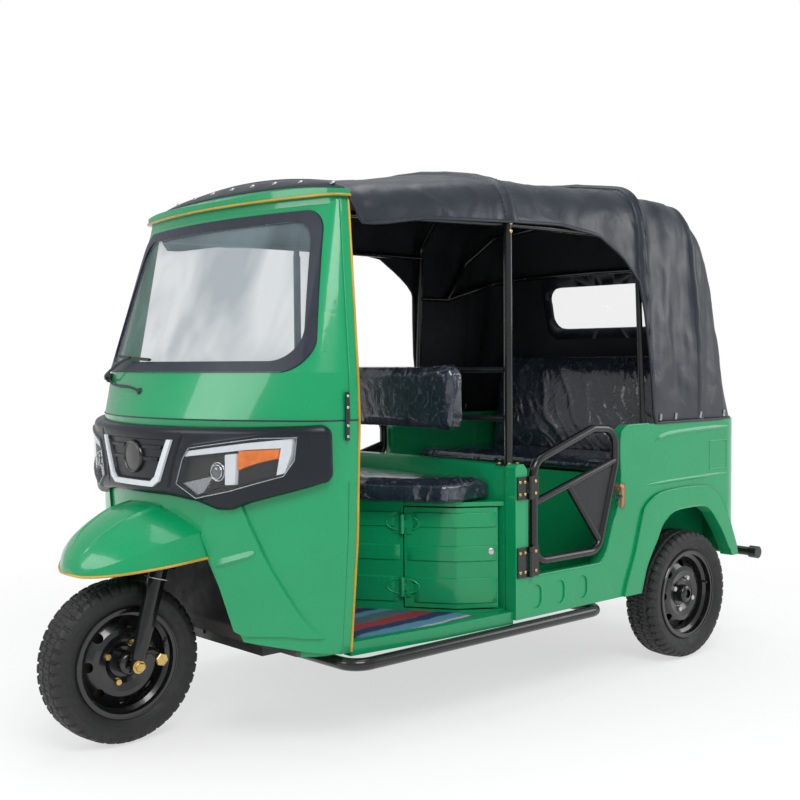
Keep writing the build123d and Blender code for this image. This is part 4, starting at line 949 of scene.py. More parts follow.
def puff(node, voxel, cap, grain, across, wrinkle, on_floor=True, tall=1.0):
    """A cushion blown up from its solid, with a loose film drawn into long creases along the grain."""
    name = node + "_pad"
    mesh = NODES[node].data.copy()
    mesh.name = name
    o = place(name, mesh)
    lo, hi = (np.array(c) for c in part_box(node))
    co = np.empty(len(mesh.vertices) * 3)
    mesh.vertices.foreach_get("co", co)
    mid = (lo + hi) / 2
    co = mid + (co.reshape(-1, 3) - mid) * (1 - 2 * SLIM / (hi - lo))
    mesh.vertices.foreach_set("co", co.ravel())
    mesh.update()
    m = o.modifiers.new("remesh", "REMESH")
    m.mode = "VOXEL"
    m.voxel_size = voxel
    o.data = bpy.data.meshes.new_from_object(o.evaluated_get(bpy.context.evaluated_depsgraph_get()))
    o.modifiers.clear()
    rest = np.empty(len(o.data.vertices) * 3)
    o.data.vertices.foreach_get("co", rest)
    c = o.modifiers.new("cloth", "CLOTH")
    c.settings.use_pressure = True
    c.settings.uniform_pressure_force = 4.0
    c.settings.quality = 3
    c.settings.effector_weights.gravity = 0
    c.settings.tension_stiffness = 12
    c.settings.bending_stiffness = 0.6
    for f in range(1, 21):
        bpy.context.scene.frame_set(f)
    e = o.evaluated_get(bpy.context.evaluated_depsgraph_get())
    moved = np.empty(len(rest))
    e.to_mesh().vertices.foreach_get("co", moved)
    e.to_mesh_clear()
    o.modifiers.clear()
    bpy.context.scene.frame_set(1)
    step = (moved - rest).reshape(-1, 3)
    step *= np.minimum(1, cap / np.maximum(np.linalg.norm(step, axis=1, keepdims=True), 1e-9))
    o.data.vertices.foreach_set("co", rest + step.ravel())
    o.data.update()
    o.modifiers.new("smooth", "SUBSURF").levels = 1
    final = bpy.data.meshes.new_from_object(o.evaluated_get(bpy.context.evaluated_depsgraph_get()))
    o.modifiers.clear()
    o.data = final
    co, nor = np.empty(len(final.vertices) * 3), np.empty(len(final.vertices) * 3)
    final.vertices.foreach_get("co", co)
    final.vertices.foreach_get("normal", nor)
    co, nor = co.reshape(-1, 3), nor.reshape(-1, 3)
    grain, across = np.array(grain, float), np.array(across, float)
    grain /= np.linalg.norm(grain)
    across /= np.linalg.norm(across)
    third = np.cross(grain, across)
    q = np.stack([co @ grain, co @ across, co @ third], axis=1)
    high = np.empty(len(co))
    for k, (u, v, w) in enumerate(q):
        bend = 0.35 * noise.noise(Vector((u * 4, v * 4, w * 4)))
        thin = noise.noise(Vector((u * 3.2, v * 24 + bend * 5, w * 16)))
        wide = noise.noise(Vector((u * 2.1 + 5, v * 9 + bend * 3, w * 8)))
        where = noise.noise(Vector((u * 5 + 9, v * 5, w * 5)))
        ridge = (1 - min(1.0, abs(thin) * 4.5)) ** 2
        fold = (1 - min(1.0, abs(wide) * 3.2)) ** 2
        loose = min(1.0, max(0.0, where * 2.6 + 0.45))
        high[k] = loose * (0.85 * ridge + 0.15 * thin) + 0.55 * fold - 0.25
    co = co + nor * (wrinkle * high)[:, None]
    co = np.clip(co, lo - 0.004, hi + 0.006)
    if on_floor:
        co[:, 2] = np.maximum(co[:, 2], lo[2])
    co[:, 2] = lo[2] + (co[:, 2] - lo[2]) * tall
    final.vertices.foreach_set("co", co.ravel())
    final.update()
    final.materials.clear()
    final.materials.append(film.m)
    final.polygons.foreach_set("use_smooth", [True] * len(final.polygons))
    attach(o, "body")
    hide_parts(node)


puff("driver_cushion", 0.012, 0.012, (0.8, -0.6, 0), (0.6, 0.8, 0), 0.0032, tall=1.22)
puff("driver_backrest", 0.012, 0.014, (0.35, 0, 1), (1, 0, -0.35), 0.0020, on_floor=False)
puff("passenger_cushion", 0.014, 0.012, (0.3, 1, 0), (1, -0.3, 0), 0.0028)
puff("passenger_backrest", 0.014, 0.014, (0.55, 0.1, -0.8), (0.8, 0, 0.55), 0.0042)

# ------------------------------------------------------------------ the nose
COWL_REAR_Y = -752
# height, the nose's y, the nose's radius, half width, corner radius, the rear edge's lean
COWL_LEVELS = [(300, -1066, 936, 589, 150, 0), (640, -1085, 936, 622, 175, 0), (983, -1091, 936, 635, 187, 0),
               (1120, -1043, 1100, 630, 165, 0), (1615, -822, 1900, 538, 45, 46), (1636, -820, 1900, 533, 45, 48)]


ARC_N = 40  # steps in each of a level section's two arcs
FRONT_N = 2 * ARC_N + 1  # its points up to the corner's end


def cowl_half(level, grow):
    """Left half of a level section, as points from the nose to the rear edge."""
    _, nose, big, half, corner, lean = level
    n = ARC_N
    hub_y = nose + big
    cx = half - corner
    cy = hub_y - sqrt((big - corner) ** 2 - cx**2)
    lead = atan2(cx, hub_y - cy)
    pts = [((big + grow) * sin(lead * k / n), hub_y - (big + grow) * cos(lead * k / n)) for k in range(n)]
    for k in range(n + 1):
        a = lead + (pi / 2 - lead) * k / n
        pts.append((cx + (corner + grow) * sin(a), cy - (corner + grow) * cos(a)))
    rear = COWL_REAR_Y + lean
    pts += [(half + grow, cy + (rear - cy) * k / 6) for k in range(1, 7)]
    return np.array(pts)


def cowl_line(z, grow=0.0):
    zs = [c[0] for c in COWL_LEVELS]
    z = min(max(z, zs[0]), zs[-1])
    k = min(len(zs) - 2, max(0, int(np.searchsorted(zs, z)) - 1))
    f = (z - zs[k]) / (zs[k + 1] - zs[k])
    return cowl_half(COWL_LEVELS[k], grow) * (1 - f) + cowl_half(COWL_LEVELS[k + 1], grow) * f


def on_cowl(x, z, grow=0.0):
    """A point of the cowl's face, in metres, for x and z in millimetres."""
    line = cowl_line(z, grow)
    front = line[:FRONT_N]
    y = float(np.interp(min(abs(x), front[-1][0] - 0.01), front[:, 0], front[:, 1]))
    return Vector((x, y, z)) / 1000


def cowl_rear(z, grow=0.0, back=0.0):
    """The cowl's rear edge at that height."""
    x, y = cowl_line(z, grow)[-1]
    return Vector((x, y + back, z)) / 1000


def patch(name, outline, grow, deep, look, slot, bevel=0.0016, cell=14):
    """A plate that follows the cowl's face inside an outline drawn from the front."""
    bm = bmesh.new()
    vs = [bm.verts.new((x, 0, z)) for x, z in outline]
    bm.faces.new(vs)
    bmesh.ops.triangulate(bm, faces=bm.faces)
    xs = [p[0] for p in outline]
    zs = [p[1] for p in outline]
    for lo, hi, axis in ((min(xs), max(xs), 0), (min(zs), max(zs), 2)):
        n = max(1, int((hi - lo) / cell))
        for k in range(1, n):
            co = [0, 0, 0]
            co[axis] = lo + (hi - lo) * k / n
            no = [0, 0, 0]
            no[axis] = 1
            bmesh.ops.bisect_plane(bm, geom=bm.verts[:] + bm.edges[:] + bm.faces[:], plane_co=co, plane_no=no)
    bmesh.ops.dissolve_limit(bm, angle_limit=0.0001, verts=[], edges=[])
    low = bmesh.ops.extrude_face_region(bm, geom=bm.faces[:])
    new = {g for g in low["geom"] if isinstance(g, bmesh.types.BMVert)}
    for v in bm.verts:
        v.co = on_cowl(v.co.x, v.co.z, grow if v in new else grow - deep)
    bmesh.ops.recalc_face_normals(bm, faces=bm.faces)
    mesh = bpy.data.meshes.new(name)
    bm.to_mesh(mesh)
    bm.free()
    mesh.materials.append(look.m)
    o = place(name, mesh)
    shade_smooth(mesh, 35)
    b = o.modifiers.new("edge", "BEVEL")
    b.width = bevel
    b.segments = 2
    b.limit_method = "ANGLE"
    b.angle_limit = radians(50)
    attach(o, "body")
    return o


def sided(points, side):
    """An outline of the left side, or its mirror image in the same turning sense."""
    return list(points) if side > 0 else [(-x, z) for x, z in reversed(points)]


MASK_END_Y = -836  # the mask's rear end


def arc_index(s, z):
    """Where along a level line the arc length s falls, as a fractional index."""
    run = run_of(cowl_line(z))
    return float(np.interp(s, run, np.arange(len(run))))


def arc_of(x, z, grow=36):
    """Arc length along the cowl to the point whose mask face is seen from the front at x."""
    run, proud = run_of(cowl_line(z)), cowl_line(z, grow)[:FRONT_N]
    k = float(np.interp(min(abs(x), proud[-1][0] - 0.5), proud[:, 0], np.arange(FRONT_N)))
    return float(np.interp(k, np.arange(len(run)), run)) * (1 if x >= 0 else -1)


def arc_end(z):
    """Arc length from the nose to the mask's rear end."""
    line = cowl_line(z)
    run = run_of(line)
    return float(np.interp(MASK_END_Y, line[60:, 1], run[60:]))


def on_arc(s, z, grow):
    """A point of the cowl's face from arc length and height, in metres."""
    k = arc_index(abs(s), z)
    line = cowl_line(z, grow)
    x, y = (float(np.interp(k, np.arange(len(line)), line[:, c])) for c in (0, 1))
    return Vector((x if s >= 0 else -x, y, z)) / 1000


def thicken(poly, step, closed=True):
    """More points along the sides of an outline."""
    out = []
    n = len(poly)
    for k in range(n if closed else n - 1):
        a, b = np.array(poly[k], float), np.array(poly[(k + 1) % n], float)
        m = max(1, int(np.hypot(*(b - a)) / step))
        out += [tuple(a + (b - a) * i / m) for i in range(m)]
    return out if closed else out + [tuple(poly[-1])]


def soften(poly, times):
    """Corners of a closed outline cut round."""
    for _ in range(times):
        nxt = []
        for k in range(len(poly)):
            a, b = np.array(poly[k]), np.array(poly[(k + 1) % len(poly)])
            nxt += [tuple(a * 0.75 + b * 0.25), tuple(a * 0.25 + b * 0.75)]
        poly = nxt
    return poly


def inset(poly, d):
    """A closed anticlockwise outline moved inwards by d."""
    p = np.array(poly)
    t = np.roll(p, -1, 0) - np.roll(p, 1, 0)
    t /= np.hypot(t[:, 0], t[:, 1])[:, None]
    return [tuple(q) for q in p + np.stack([-t[:, 1], t[:, 0]], 1) * d]


def reach(points, line, closed=True):
    """Distance of each point from a line, and whether it is inside."""
    a = np.array(line)
    b = np.roll(a, -1, 0) if closed else a[1:]
    a = a if closed else a[:-1]
    far = np.full(len(points), 1e9)
    inside = np.zeros(len(points), bool)
    for (ax, az), (bx, bz) in zip(a, b):
        dx, dz = bx - ax, bz - az
        k = np.clip(((points[:, 0] - ax) * dx + (points[:, 1] - az) * dz) / (dx * dx + dz * dz + 1e-9), 0, 1)
        far = np.minimum(far, np.hypot(points[:, 0] - ax - k * dx, points[:, 1] - az - k * dz))
        if closed:
            cross = (az > points[:, 1]) != (bz > points[:, 1])
            with np.errstate(divide="ignore", invalid="ignore"):
                at = ax + (points[:, 1] - az) * dx / (dz if dz else 1e-9)
            inside ^= cross & (points[:, 0] < at)
    return far, inside


def to_arc(points):
    """An outline seen from the front, laid out along the cowl."""
    return [(arc_of(x, z), z) for x, z in points]


# outlines seen from the front, x and z in millimetres
LAMP = [(217, 795), (244, 869), (268, 902), (487, 935), (582, 938), (575, 873), (548, 829), (401, 782), (290, 756)]
lower = [(0, 755), (160, 755), (279, 743), (349, 722), (390, 724), (445, 746), (579, 787), (612, 798)]
upper = [(0, 962), (230, 963), (448, 965), (600, 970)]
END, END_LOW, END_HIGH, CORNER = arc_end(890), 806, 972, 30  # the mask's rear end and its rounding
quarter = np.linspace(0, pi / 2, 7)
half = to_arc(lower)
half += [(END - CORNER + CORNER * sin(a), END_LOW + CORNER - CORNER * cos(a)) for a in quarter]
half += [(END - CORNER + CORNER * cos(a), END_HIGH - CORNER + CORNER * sin(a)) for a in quarter]
half += to_arc(reversed(upper))
ring = half[1:-1] + [half[-1]] + [(-a, z) for a, z in reversed(half[1:-1])] + [half[0]]
RIM = soften(thicken(ring, 16), 1)
LAMP_ARC = to_arc(thicken(LAMP, 14))
if sum(a[0] * b[1] - b[0] * a[1] for a, b in zip(LAMP_ARC, LAMP_ARC[1:] + LAMP_ARC[:1])) < 0:
    LAMP_ARC = LAMP_ARC[::-1]
PANEL = [(-104, 799), (104, 799), (121, 812), (177, 923), (-177, 923), (-121, 812)]
PANEL_ARC = to_arc(thicken(PANEL, 14))
VALLEY = to_arc(thicken([(236, 936), (226, 925), (190, 830), (180, 786)], 14, closed=False))


def mask_height(q):
    """How far the mask's face stands off the cowl."""
    d, _ = reach(q, RIM)
    h = np.interp(d, [0, 2, 6, 12, 20, 30], [13, 21, 29, 33.2, 35, 35.4])
    for sgn in (1, -1):
        p = q * [sgn, 1]
        dl, within = reach(p, LAMP_ARC)
        ridge = np.interp(dl, [0, 2.5, 6, 11], [40.5, 40.5, 37, 0])
        h = np.where((dl < 11) & ~within, np.maximum(ridge, h), h)
        h = np.where(within, np.interp(dl, [0, 1.6], [40.5, 12]), h)
        dv, _ = reach(p, VALLEY, closed=False)
        h = h - np.interp(dv, [0, 2.5, 7], [6.0, 4.2, 0]) * np.clip((d - 8) / 14, 0, 1)
    dp, within = reach(q, PANEL_ARC)
    return np.where(within, np.interp(dp, [0, 3.0], [35, 28]), h)


# the mask's face: lines along every bend of its height, and a loose grid between them
verts, edges = [], []


def add_line(points, closed=True):
    """A line that the mesh's edges follow."""
    base = len(verts)
    verts.extend(points)
    n = len(points)
    edges.extend((base + k, base + (k + 1) % n) for k in range(n if closed else n - 1))


for d in (0, 2, 6, 12, 20):
    add_line(inset(RIM, d))
for sgn in (1, -1):
    for d in (-11, -6, -2.5, 0, 1.6):
        add_line([(sgn * a, z) for a, z in inset(LAMP_ARC, d)])
    for off in (-7, -2.5, 0, 2.5, 7):
        add_line([(sgn * (a + off), z + 0.2 * off) for a, z in VALLEY], closed=False)
for d in (0, 3.0):
    add_line(inset(PANEL_ARC, d))
grid_at = np.array([(a, z) for a in np.arange(-END + 26, END - 20, 17) for z in np.arange(735, 960, 15)])
far, within = reach(grid_at, RIM)
keep = within & (far > 24)
for sgn in (1, -1):
    dl, wl = reach(grid_at * [sgn, 1], LAMP_ARC)
    dv, _ = reach(grid_at * [sgn, 1], VALLEY, closed=False)
    keep &= (dl > 16) & ~wl & (dv > 12)
dp, _ = reach(grid_at, PANEL_ARC)
keep &= dp > 8
verts.extend(map(tuple, grid_at[keep]))
flat, _, tris, *_ = delaunay_2d_cdt([Vector(p) for p in verts], edges, [], 0, 1e-4)
flat = np.array([(p.x, p.y) for p in flat])
mid = np.array([flat[list(t)].mean(axis=0) for t in tris])
_, in_rim = reach(mid, RIM)
holes = np.zeros(len(mid), bool)
for sgn in (1, -1):
    dl, wl = reach(mid * [sgn, 1], LAMP_ARC)
    holes |= wl & (dl > 1.6)
high = mask_height(flat)
shell = Build()
shell.v = [tuple(on_arc(p[0], p[1], h)) for p, h in zip(flat, high)]
for t, ok, hole in zip(tris, in_rim, holes):
    if ok and not hole:
        p = flat[list(t)]
        turn = (p[1][0] - p[0][0]) * (p[2][1] - p[0][1]) - (p[2][0] - p[0][0]) * (p[1][1] - p[0][1])
        if abs(turn) > 1e-3:
            shell.f.append(tuple(t) if turn > 0 else tuple(reversed(t)))
# the outer wall down to the cowl
wall = [[on_arc(a, z, h) for a, z in RIM] for h in (13, 6, 0.6)]
shell.grid(wall, loop_u=True, flip=True)
mask_skin = shell.make("mask_skin", plastic, "body", 28, "black_plastic")
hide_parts("front_mask")

# ------------------------------------------------------------------ lamps
white_guide = Look("light_guide", (0.70, 0.73, 0.77), rough=0.22, coat=0.5)
white_guide.layers("waves", 0.00015, 220, "X", vary=(0.06, 60), gloss=(0.05, 90))
silver = Look("reflector", (0.72, 0.73, 0.75), rough=0.16, metal=1.0).layers("cells", 0.0012, 90, gloss=(0.08, 90))
smoked = Look("smoked_reflector", (0.022, 0.018, 0.016), rough=0.35, spec=0.22, coat=0.0)
smoked.layers("noise", 0.0004, 40, 2, vary=(0.5, 18), gloss=(0.12, 40))
louvre = Look("lamp_louvre", (0.018, 0.017, 0.017), rough=0.32, spec=0.35)
louvre.layers("waves", 0.0022, 95, "Z", vary=(0.3, 40))
amber = Look("amber_lens", (0.86, 0.185, 0.002), rough=0.25, coat=0.1, spec=0.25)
amber.layers("waves", 0.0006, 110, "X", vary=(0.35, 50))
lens_clear = Look("lamp_cover", (0.25, 0.27, 0.28), rough=0.02, alpha=0.07, coat=0.0)
lens_clear.layers("noise", 0.0002, 6, 1, gloss=(0.01, 20))
bulb_look = Look("projector_lens", (0.10, 0.11, 0.12), rough=0.05, metal=0.2, coat=1.0)
bulb_look.layers("noise", 0.0002, 90, 2, vary=(0.2, 60))
# grey metal for the lamp's facets and for the line on the cover's edge; on that line it is partly a painted highlight
# of the edge
rim_and_highlight_look = Look("lamp_rim_and_highlight", (0.30, 0.31, 0.33), rough=0.25, metal=0.6, coat=0.3)
rim_and_highlight_look.layers("noise", 0.0001, 200, 2, vary=(0.1, 30), gloss=(0.06, 60))
dress("light_bar", white_guide)


def toward(points, k):
    """Points drawn a little towards their middle."""
    cx = sum(p[0] for p in points) / len(points)
    cz = sum(p[1] for p in points) / len(points)
    return [(cx + (x - cx) * k, cz + (z - cz) * k) for x, z in points]


# piece, outline, how far its face stands off the cowl, its depth, look and slot
LAMP_PARTS = (
    ("cover", toward(LAMP, 0.985), 41, 2.0, lens_clear, "lamp_lens"),
    ("housing", toward(LAMP, 1.05), 11.5, 8, smoked, "black_plastic"),
    ("l_bar", [(247, 876), (262, 893), (455, 921), (573, 935), (568, 891), (552, 838), (531, 831), (544, 908),
               (455, 902)], 38, 20, white_guide, "light_guide"),
    ("upright", [(386, 886), (420, 890), (414, 800), (384, 798)], 36, 22, white_guide, "light_guide"),
    ("amber", [(426, 898), (537, 906), (530, 878), (478, 864), (423, 843)], 34, 18, amber, "tail_lens"),
    ("louvre", [(420, 840), (472, 862), (529, 877), (522, 828), (416, 796)], 28, 14, louvre, "black_plastic"),
    ("facet", [(226, 797), (338, 822), (304, 772), (282, 764)], 27, 14, rim_and_highlight_look, "steel"),
    ("reflector", [(250, 868), (382, 884), (381, 800), (320, 782), (338, 824), (230, 802)], 17, 5, smoked,
     "black_plastic"),
)
for side, tag in SIDES:
    for part, outline, grow, deep, look, slot in LAMP_PARTS:
        piece = patch(f"lamp_{part}_{tag}", sided(outline, side), grow, deep, look, slot)
        if part == "cover" and side > 0:
            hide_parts("headlamps")
    axis = Vector((side * 0.25, -1, 0)).normalized()
    u = axis.orthogonal().normalized()
    w = axis.cross(u)
    at = on_cowl(side * 350, 835, 14)
    ball = Build()
    ball.lathe([(0, 0.026), (0.012, 0.026), (0.014, 0.0235), (0.013, 0.021), (0.018, 0.019), (0.0215, 0.014),
                (0.0235, 0.007), (0.024, 0.0)], at, axis, 40)
    ball.make(f"lamp_projector_{tag}", bulb_look, "body", 40, "lamp_lens")
    bezel = Build()
    for r, out in ((0.0265, 0.0125), (0.0205, 0.0185)):
        bezel.tube([at + axis * out + (u * cos(a) + w * sin(a)) * r for a in turns(24)], 0.0017, 8, loop=True, steps=3)
    bezel.make(f"lamp_projector_ring_{tag}", silver, "body", 50, "steel")
    # a light grey line along the cover's edge: the edge itself, partly a painted highlight of it
    outline = Build()
    outline.tube([on_arc(side * a, z, 40.9) for a, z in LAMP_ARC], 0.0017, 8, loop=True, steps=1)
    outline.make(f"lamp_rim_and_highlight_{tag}", rim_and_highlight_look, "body", 50, "steel")

# a plain oval boss between the lamps, with a raised ring
boss = Build()
boss.grid([[on_cowl(50 * k * cos(a), 866 + 48 * k * sin(a), out) for a in turns(64)]
           for out, k in ((27, 1.06), (35, 1.04), (38.5, 1.0), (39.5, 0.95), (38.5, 0.90), (36.0, 0.86), (36.6, 0.6),
                          (37.2, 0.3), (37.4, 0.02))], loop_u=True)
boss.make("nose_boss", wheel_black, "body", 40, "black_plastic")
# moulded bars in the panel behind it
for k, (z, far_x) in enumerate(((898, 148), (862, 130))):
    bar = [(54, z - 6), (far_x - 6, z - 6), (far_x, z + 1), (far_x - 2, z + 6), (54, z + 6)]
    for side, tag in SIDES:
        patch(f"mask_bar_{tag}_{k}", sided(bar, side), 33.5, 8, plastic, "black_plastic", bevel=0.0025)

# seam between the cowls, and the folded joint lines
SEAM_Z = 983
seam = Build()
seam_half = [Vector((x, y, SEAM_Z)) / 1000 for x, y in cowl_line(SEAM_Z, 0.3)]
seam_half[-1].y -= 0.004
seam.tube(mirrored(seam_half[:0:-2]) + seam_half[::2] + [seam_half[-1]], 0.0022, 6, steps=1)
seam.make("cowl_seam", seal_rubber, "body", 40, "soft_rubber")
fold_ = Build()
for side in (1, -1):
    for lo, hi in ((304, 806), (986, 1628)):
        fold_.tube(mirrored([cowl_rear(z, 0.1, -30) for z in np.linspace(lo, hi, 24)], side), 0.0016, 6, steps=1)
fold_.make("cowl_folds", green, "body", 40, "green_paint")
# pressings of the lower cowl: a raised field on each side, and the bright step inside it
FIELD = [(404, 738), (428, 680), (446, 630), (480, 555), (519, 479), (583, 356), (507, 362), (392, 353), (362, 365),
         (304, 552), (268, 640), (296, 752), (345, 738)]
top_ = [(312, 572), (345, 583), (390, 597), (424, 607), (438, 610)]
low_ = [(318, 556), (348, 566), (392, 580), (428, 592), (441, 604)]
for side, tag in SIDES:
    patch(f"cowl_field_{tag}", sided(FIELD, side), 8.0, 10, green, "green_paint", bevel=0.0065)
    step = Build()
    rows_s = []
    for (xa, za), (xb, zb), k in zip(top_, low_, (0.3, 1.0, 1.0, 0.8, 0.1)):
        rows_s.append([on_cowl(side * xa, za, 7.9), on_cowl(side * xb, zb, 8 + 9 * k),
                       on_cowl(side * xb, zb - 2, 8 + 8.4 * k), on_cowl(side * (xb + 1), zb - 9, 7.8)])
    step.grid(rows_s, flip=side > 0)
    step.make(f"cowl_step_{tag}", green, "body", 25, "green_paint")

# ------------------------------------------------------------------ coloured edge trims
TRIM_R = 0.0042
TRIM_ZS = (302, 360, 450, 560, 640, 760, 880, 983, 1050, 1120, 1250, 1400, 1520, 1600, 1638)
edge_trim = Build()
for side in (1, -1):
    edge_trim.tube(mirrored([cowl_rear(z, 0, 2) for z in TRIM_ZS], side), TRIM_R, 8, steps=3)
edge_trim.make("cowl_edge_trim", trim, "body", 60, "black_plastic")
# y, half width, heights of the lower edge, the shoulder and the crown, in millimetres
FENDER_ROWS = np.array([(-1338, 34, 529, 533, 541), (-1331, 66, 528.5, 540, 566), (-1318, 100, 531, 548, 590),
                        (-1300, 138, 535, 560, 615), (-1247, 208, 547, 590, 662), (-1150, 257, 561, 628, 711),
                        (-1060, 281, 574, 648, 727), (-1000, 293, 581, 655, 729)], float)


def fender_row(y):
    """The mudguard's half width and heights at y."""
    return [float(pchip(FENDER_ROWS[:, 0], FENDER_ROWS[:, c], np.array([y]))[0]) for c in range(1, 5)]


def on_fender(u, y, out=0.0):
    """u runs from 0 at the crown to 1 at the shoulder and 2 at the lower edge."""
    h, low, sh, cr = fender_row(y)
    c, rise = 0.93 * h, cr - sh
    if u <= 1:
        r = (c * c + rise * rise) / (2 * rise)
        lead = np.arcsin(min(1.0, c / r)) * u
        return Vector(((r + out) * sin(lead), y, cr - r + (r + out) * cos(lead)))
    k = u - 1
    return Vector((c + (h - c) * k + out, y, sh + (low - sh) * k))


def fender_end(u):
    """Where the fender runs into the cowl, for that line along it."""
    y = -1060.0
    for _ in range(6):
        p = on_fender(u, y)
        y = on_cowl(p.x, max(p.z, 300), 0).y * 1000 + 1.0
    return y


FENDER_TIP, FENDER_RIDGE_U = -1338, 0.34
fender_u = [2.0, 1.98] + list(np.linspace(1.9, 1.1, 7)) + [1.03, 1.0, 0.97] + list(np.linspace(0.9, 0.45, 8)) + [
    0.42, 0.40, 0.378, 0.362, 0.35, 0.34, 0.33, 0.318, 0.302, 0.28, 0.26] + list(np.linspace(0.22, 0, 5))
ends = [fender_end(u) for u in fender_u]
fender = Build()
for thick, flip in ((0.0, True), (-3.0, False)):
    rows_f = []
    for t in np.linspace(0, 1, 46):
        row = []
        for u, y1 in zip(fender_u, ends):
            y = FENDER_TIP + (y1 - FENDER_TIP) * t**1.25
            lift = 0.0
            if thick == 0.0 and y > -1325:
                # two soft ridges that run back from the tip
                near = np.interp(abs(u - FENDER_RIDGE_U), [0, 0.010, 0.038, 0.06], [1, 0.85, 0.2, 0])
                lift = 5.0 * float(near) * min(1, (y + 1325) / 60)
            row.append(on_fender(u, y, thick + lift) / 1000)
        rows_f.append(row + mirrored(row[-2::-1]))
    fender.grid(rows_f, flip=flip)
    if thick == 0.0:
        tip = rows_f[0]
        fender.add(tip, [tuple(range(len(tip)))])
fender_skin = fender.make("fender_skin", green, "body", 22, "green_paint")
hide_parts("front_fender")
fender_trim = Build()
left = [on_fender(2.0, y) / 1000
        for y in (-1040, -1080, -1120, -1160, -1200, -1235, -1265, -1290, -1308, -1322, -1331, -1336)]
left += [Vector((0.018, -1.3392, 0.5295)), Vector((0, -1.3394, 0.5295))]
fender_trim.tube(left + mirrored(left[-2::-1]), TRIM_R, 8, steps=4)
fender_trim.make("fender_edge_trim", trim, "body", 60, "black_plastic")
brow_trim = Build()
brow_half = [Vector((x, y, 1640)) / 1000 for x, y in cowl_half(COWL_LEVELS[-1], 14)[::2]]
brow_trim.tube(mirrored(brow_half[:0:-1]) + brow_half, TRIM_R, 8, steps=1)
brow_trim.make("brow_edge_trim", trim, "body", 60, "black_plastic")

# ------------------------------------------------------------------ windscreen wiper
wiper = Build()
pivot = on_cowl(-420, 1098, 0)
wiper.lathe([(0, 0.016), (0.012, 0.016), (0.016, 0.012), (0.022, 0.011), (0.024, 0.0)], pivot, (-0.2, -1, 0.35), 24)
# the arm, the blade, its rubber, and the washer's hose: points on the cowl and off its face
for points, r, seg in ((((-420, 1098, 20), (-360, 1112, 30), (-250, 1150, 26), (-180, 1168, 20)), 0.0045, 8),
                       (((-330, 1172, 13), (-180, 1166, 13), (-40, 1160, 13)), 0.005, 8),
                       (((-330, 1172, 9), (-180, 1166, 8), (-40, 1160, 9)), 0.003, 6),
                       (((-420, 1098, 8), (-300, 1080, 10), (-140, 1075, 7), (-60, 1062, 3)), 0.004, 8)):
    wiper.tube([on_cowl(*p) for p in points], r, seg)
wiper.dome(on_cowl(-60, 1062, 0), (0, -1, 0.3), 0.011, 0.009)
wiper.make("wiper", moulded, "body", 40, "black_plastic")

# ------------------------------------------------------------------ fork details
RAKE = radians(16)
STEM = Vector((0, sin(RAKE), cos(RAKE)))
AXLE = Vector((0, FRONT_Y, WHEEL_R))


def on_fork(x, across, along):
    """A point from the axle: sideways, behind the steering axis, and up along it."""
    return AXLE + Vector((x, across * cos(RAKE), -across * sin(RAKE))) + STEM * along


LEG_X = 0.1
BELLOWS, BELLOWS_PITCH = 4, 0.0208
for side, tag in SIDES:
    gaiter = Build()
    prof = [(0.0, 0.019)]
    for k in range(BELLOWS):
        z = 0.002 + k * BELLOWS_PITCH
        prof += [(z, 0.0182), (z + 0.0060, 0.0200), (z + 0.0090, 0.0262), (z + 0.0115, 0.0270), (z + 0.0140, 0.0262),
                 (z + 0.0170, 0.0200)]
    prof += [(0.003 + BELLOWS * BELLOWS_PITCH, 0.0190), (0.005 + BELLOWS * BELLOWS_PITCH, 0.018)]
    gaiter.lathe(prof, on_fork(side * LEG_X, 0, 0.166), STEM, 36)
    gaiter.make(f"fork_gaiter_{tag}", gaiter_rubber, "steering", 50, "soft_rubber")
    sleeve = Build()
    sleeve.lathe([(0.0, 0.0165), (0.003, 0.0215), (0.010, 0.0235), (0.060, 0.0245), (0.110, 0.0262), (0.136, 0.0268),
                  (0.142, 0.0262), (0.146, 0.0235), (0.149, 0.0175)], on_fork(side * LEG_X, 0, 0.016), STEM, 40)
    sleeve.make(f"fork_sleeve_{tag}", black, "steering", 35, "black_paint")
    metal = Build()
    metal.lathe([(0, 0.0178), (0.001, 0.036), (0.003, 0.0375), (0.0045, 0.036), (0.0055, 0.0178)],
                on_fork(side * LEG_X, 0, 0.262), STEM, 40)
    for along in (0.281, 0.294, 0.307):
        metal.lathe([(0, 0.0175), (0.002, 0.0235), (0.005, 0.0245), (0.008, 0.0235), (0.010, 0.0175)],
                    on_fork(side * LEG_X, 0, along), STEM, 32)
    metal.make(f"fork_collar_{tag}", steel, "steering", 40, "steel")
    nuts = Build()
    nuts.bolt(on_fork(side * 0.117, 0, 0.0), (side, 0, 0), 0.026, 0.014, 0.020)
    nuts.lathe([(0, 0.019), (0.003, 0.0205), (0.010, 0.0205), (0.012, 0.018), (0.012, 0.0)],
               on_fork(side * 0.108, 0.073, 0.030), (side, 0, 0), 6)
    nuts.make(f"fork_nuts_{tag}", brass if side > 0 else steel, "steering", 30, "steel")
    bracket = Build()
    bracket.tube([on_fork(side * LEG_X, 0.010, 0.045), on_fork(side * 0.096, 0.045, 0.05),
                  on_fork(side * 0.096, 0.082, 0.03)], 0.011, 10)
    bracket.make(f"fork_bracket_{tag}", black, "steering", 40, "black_paint")

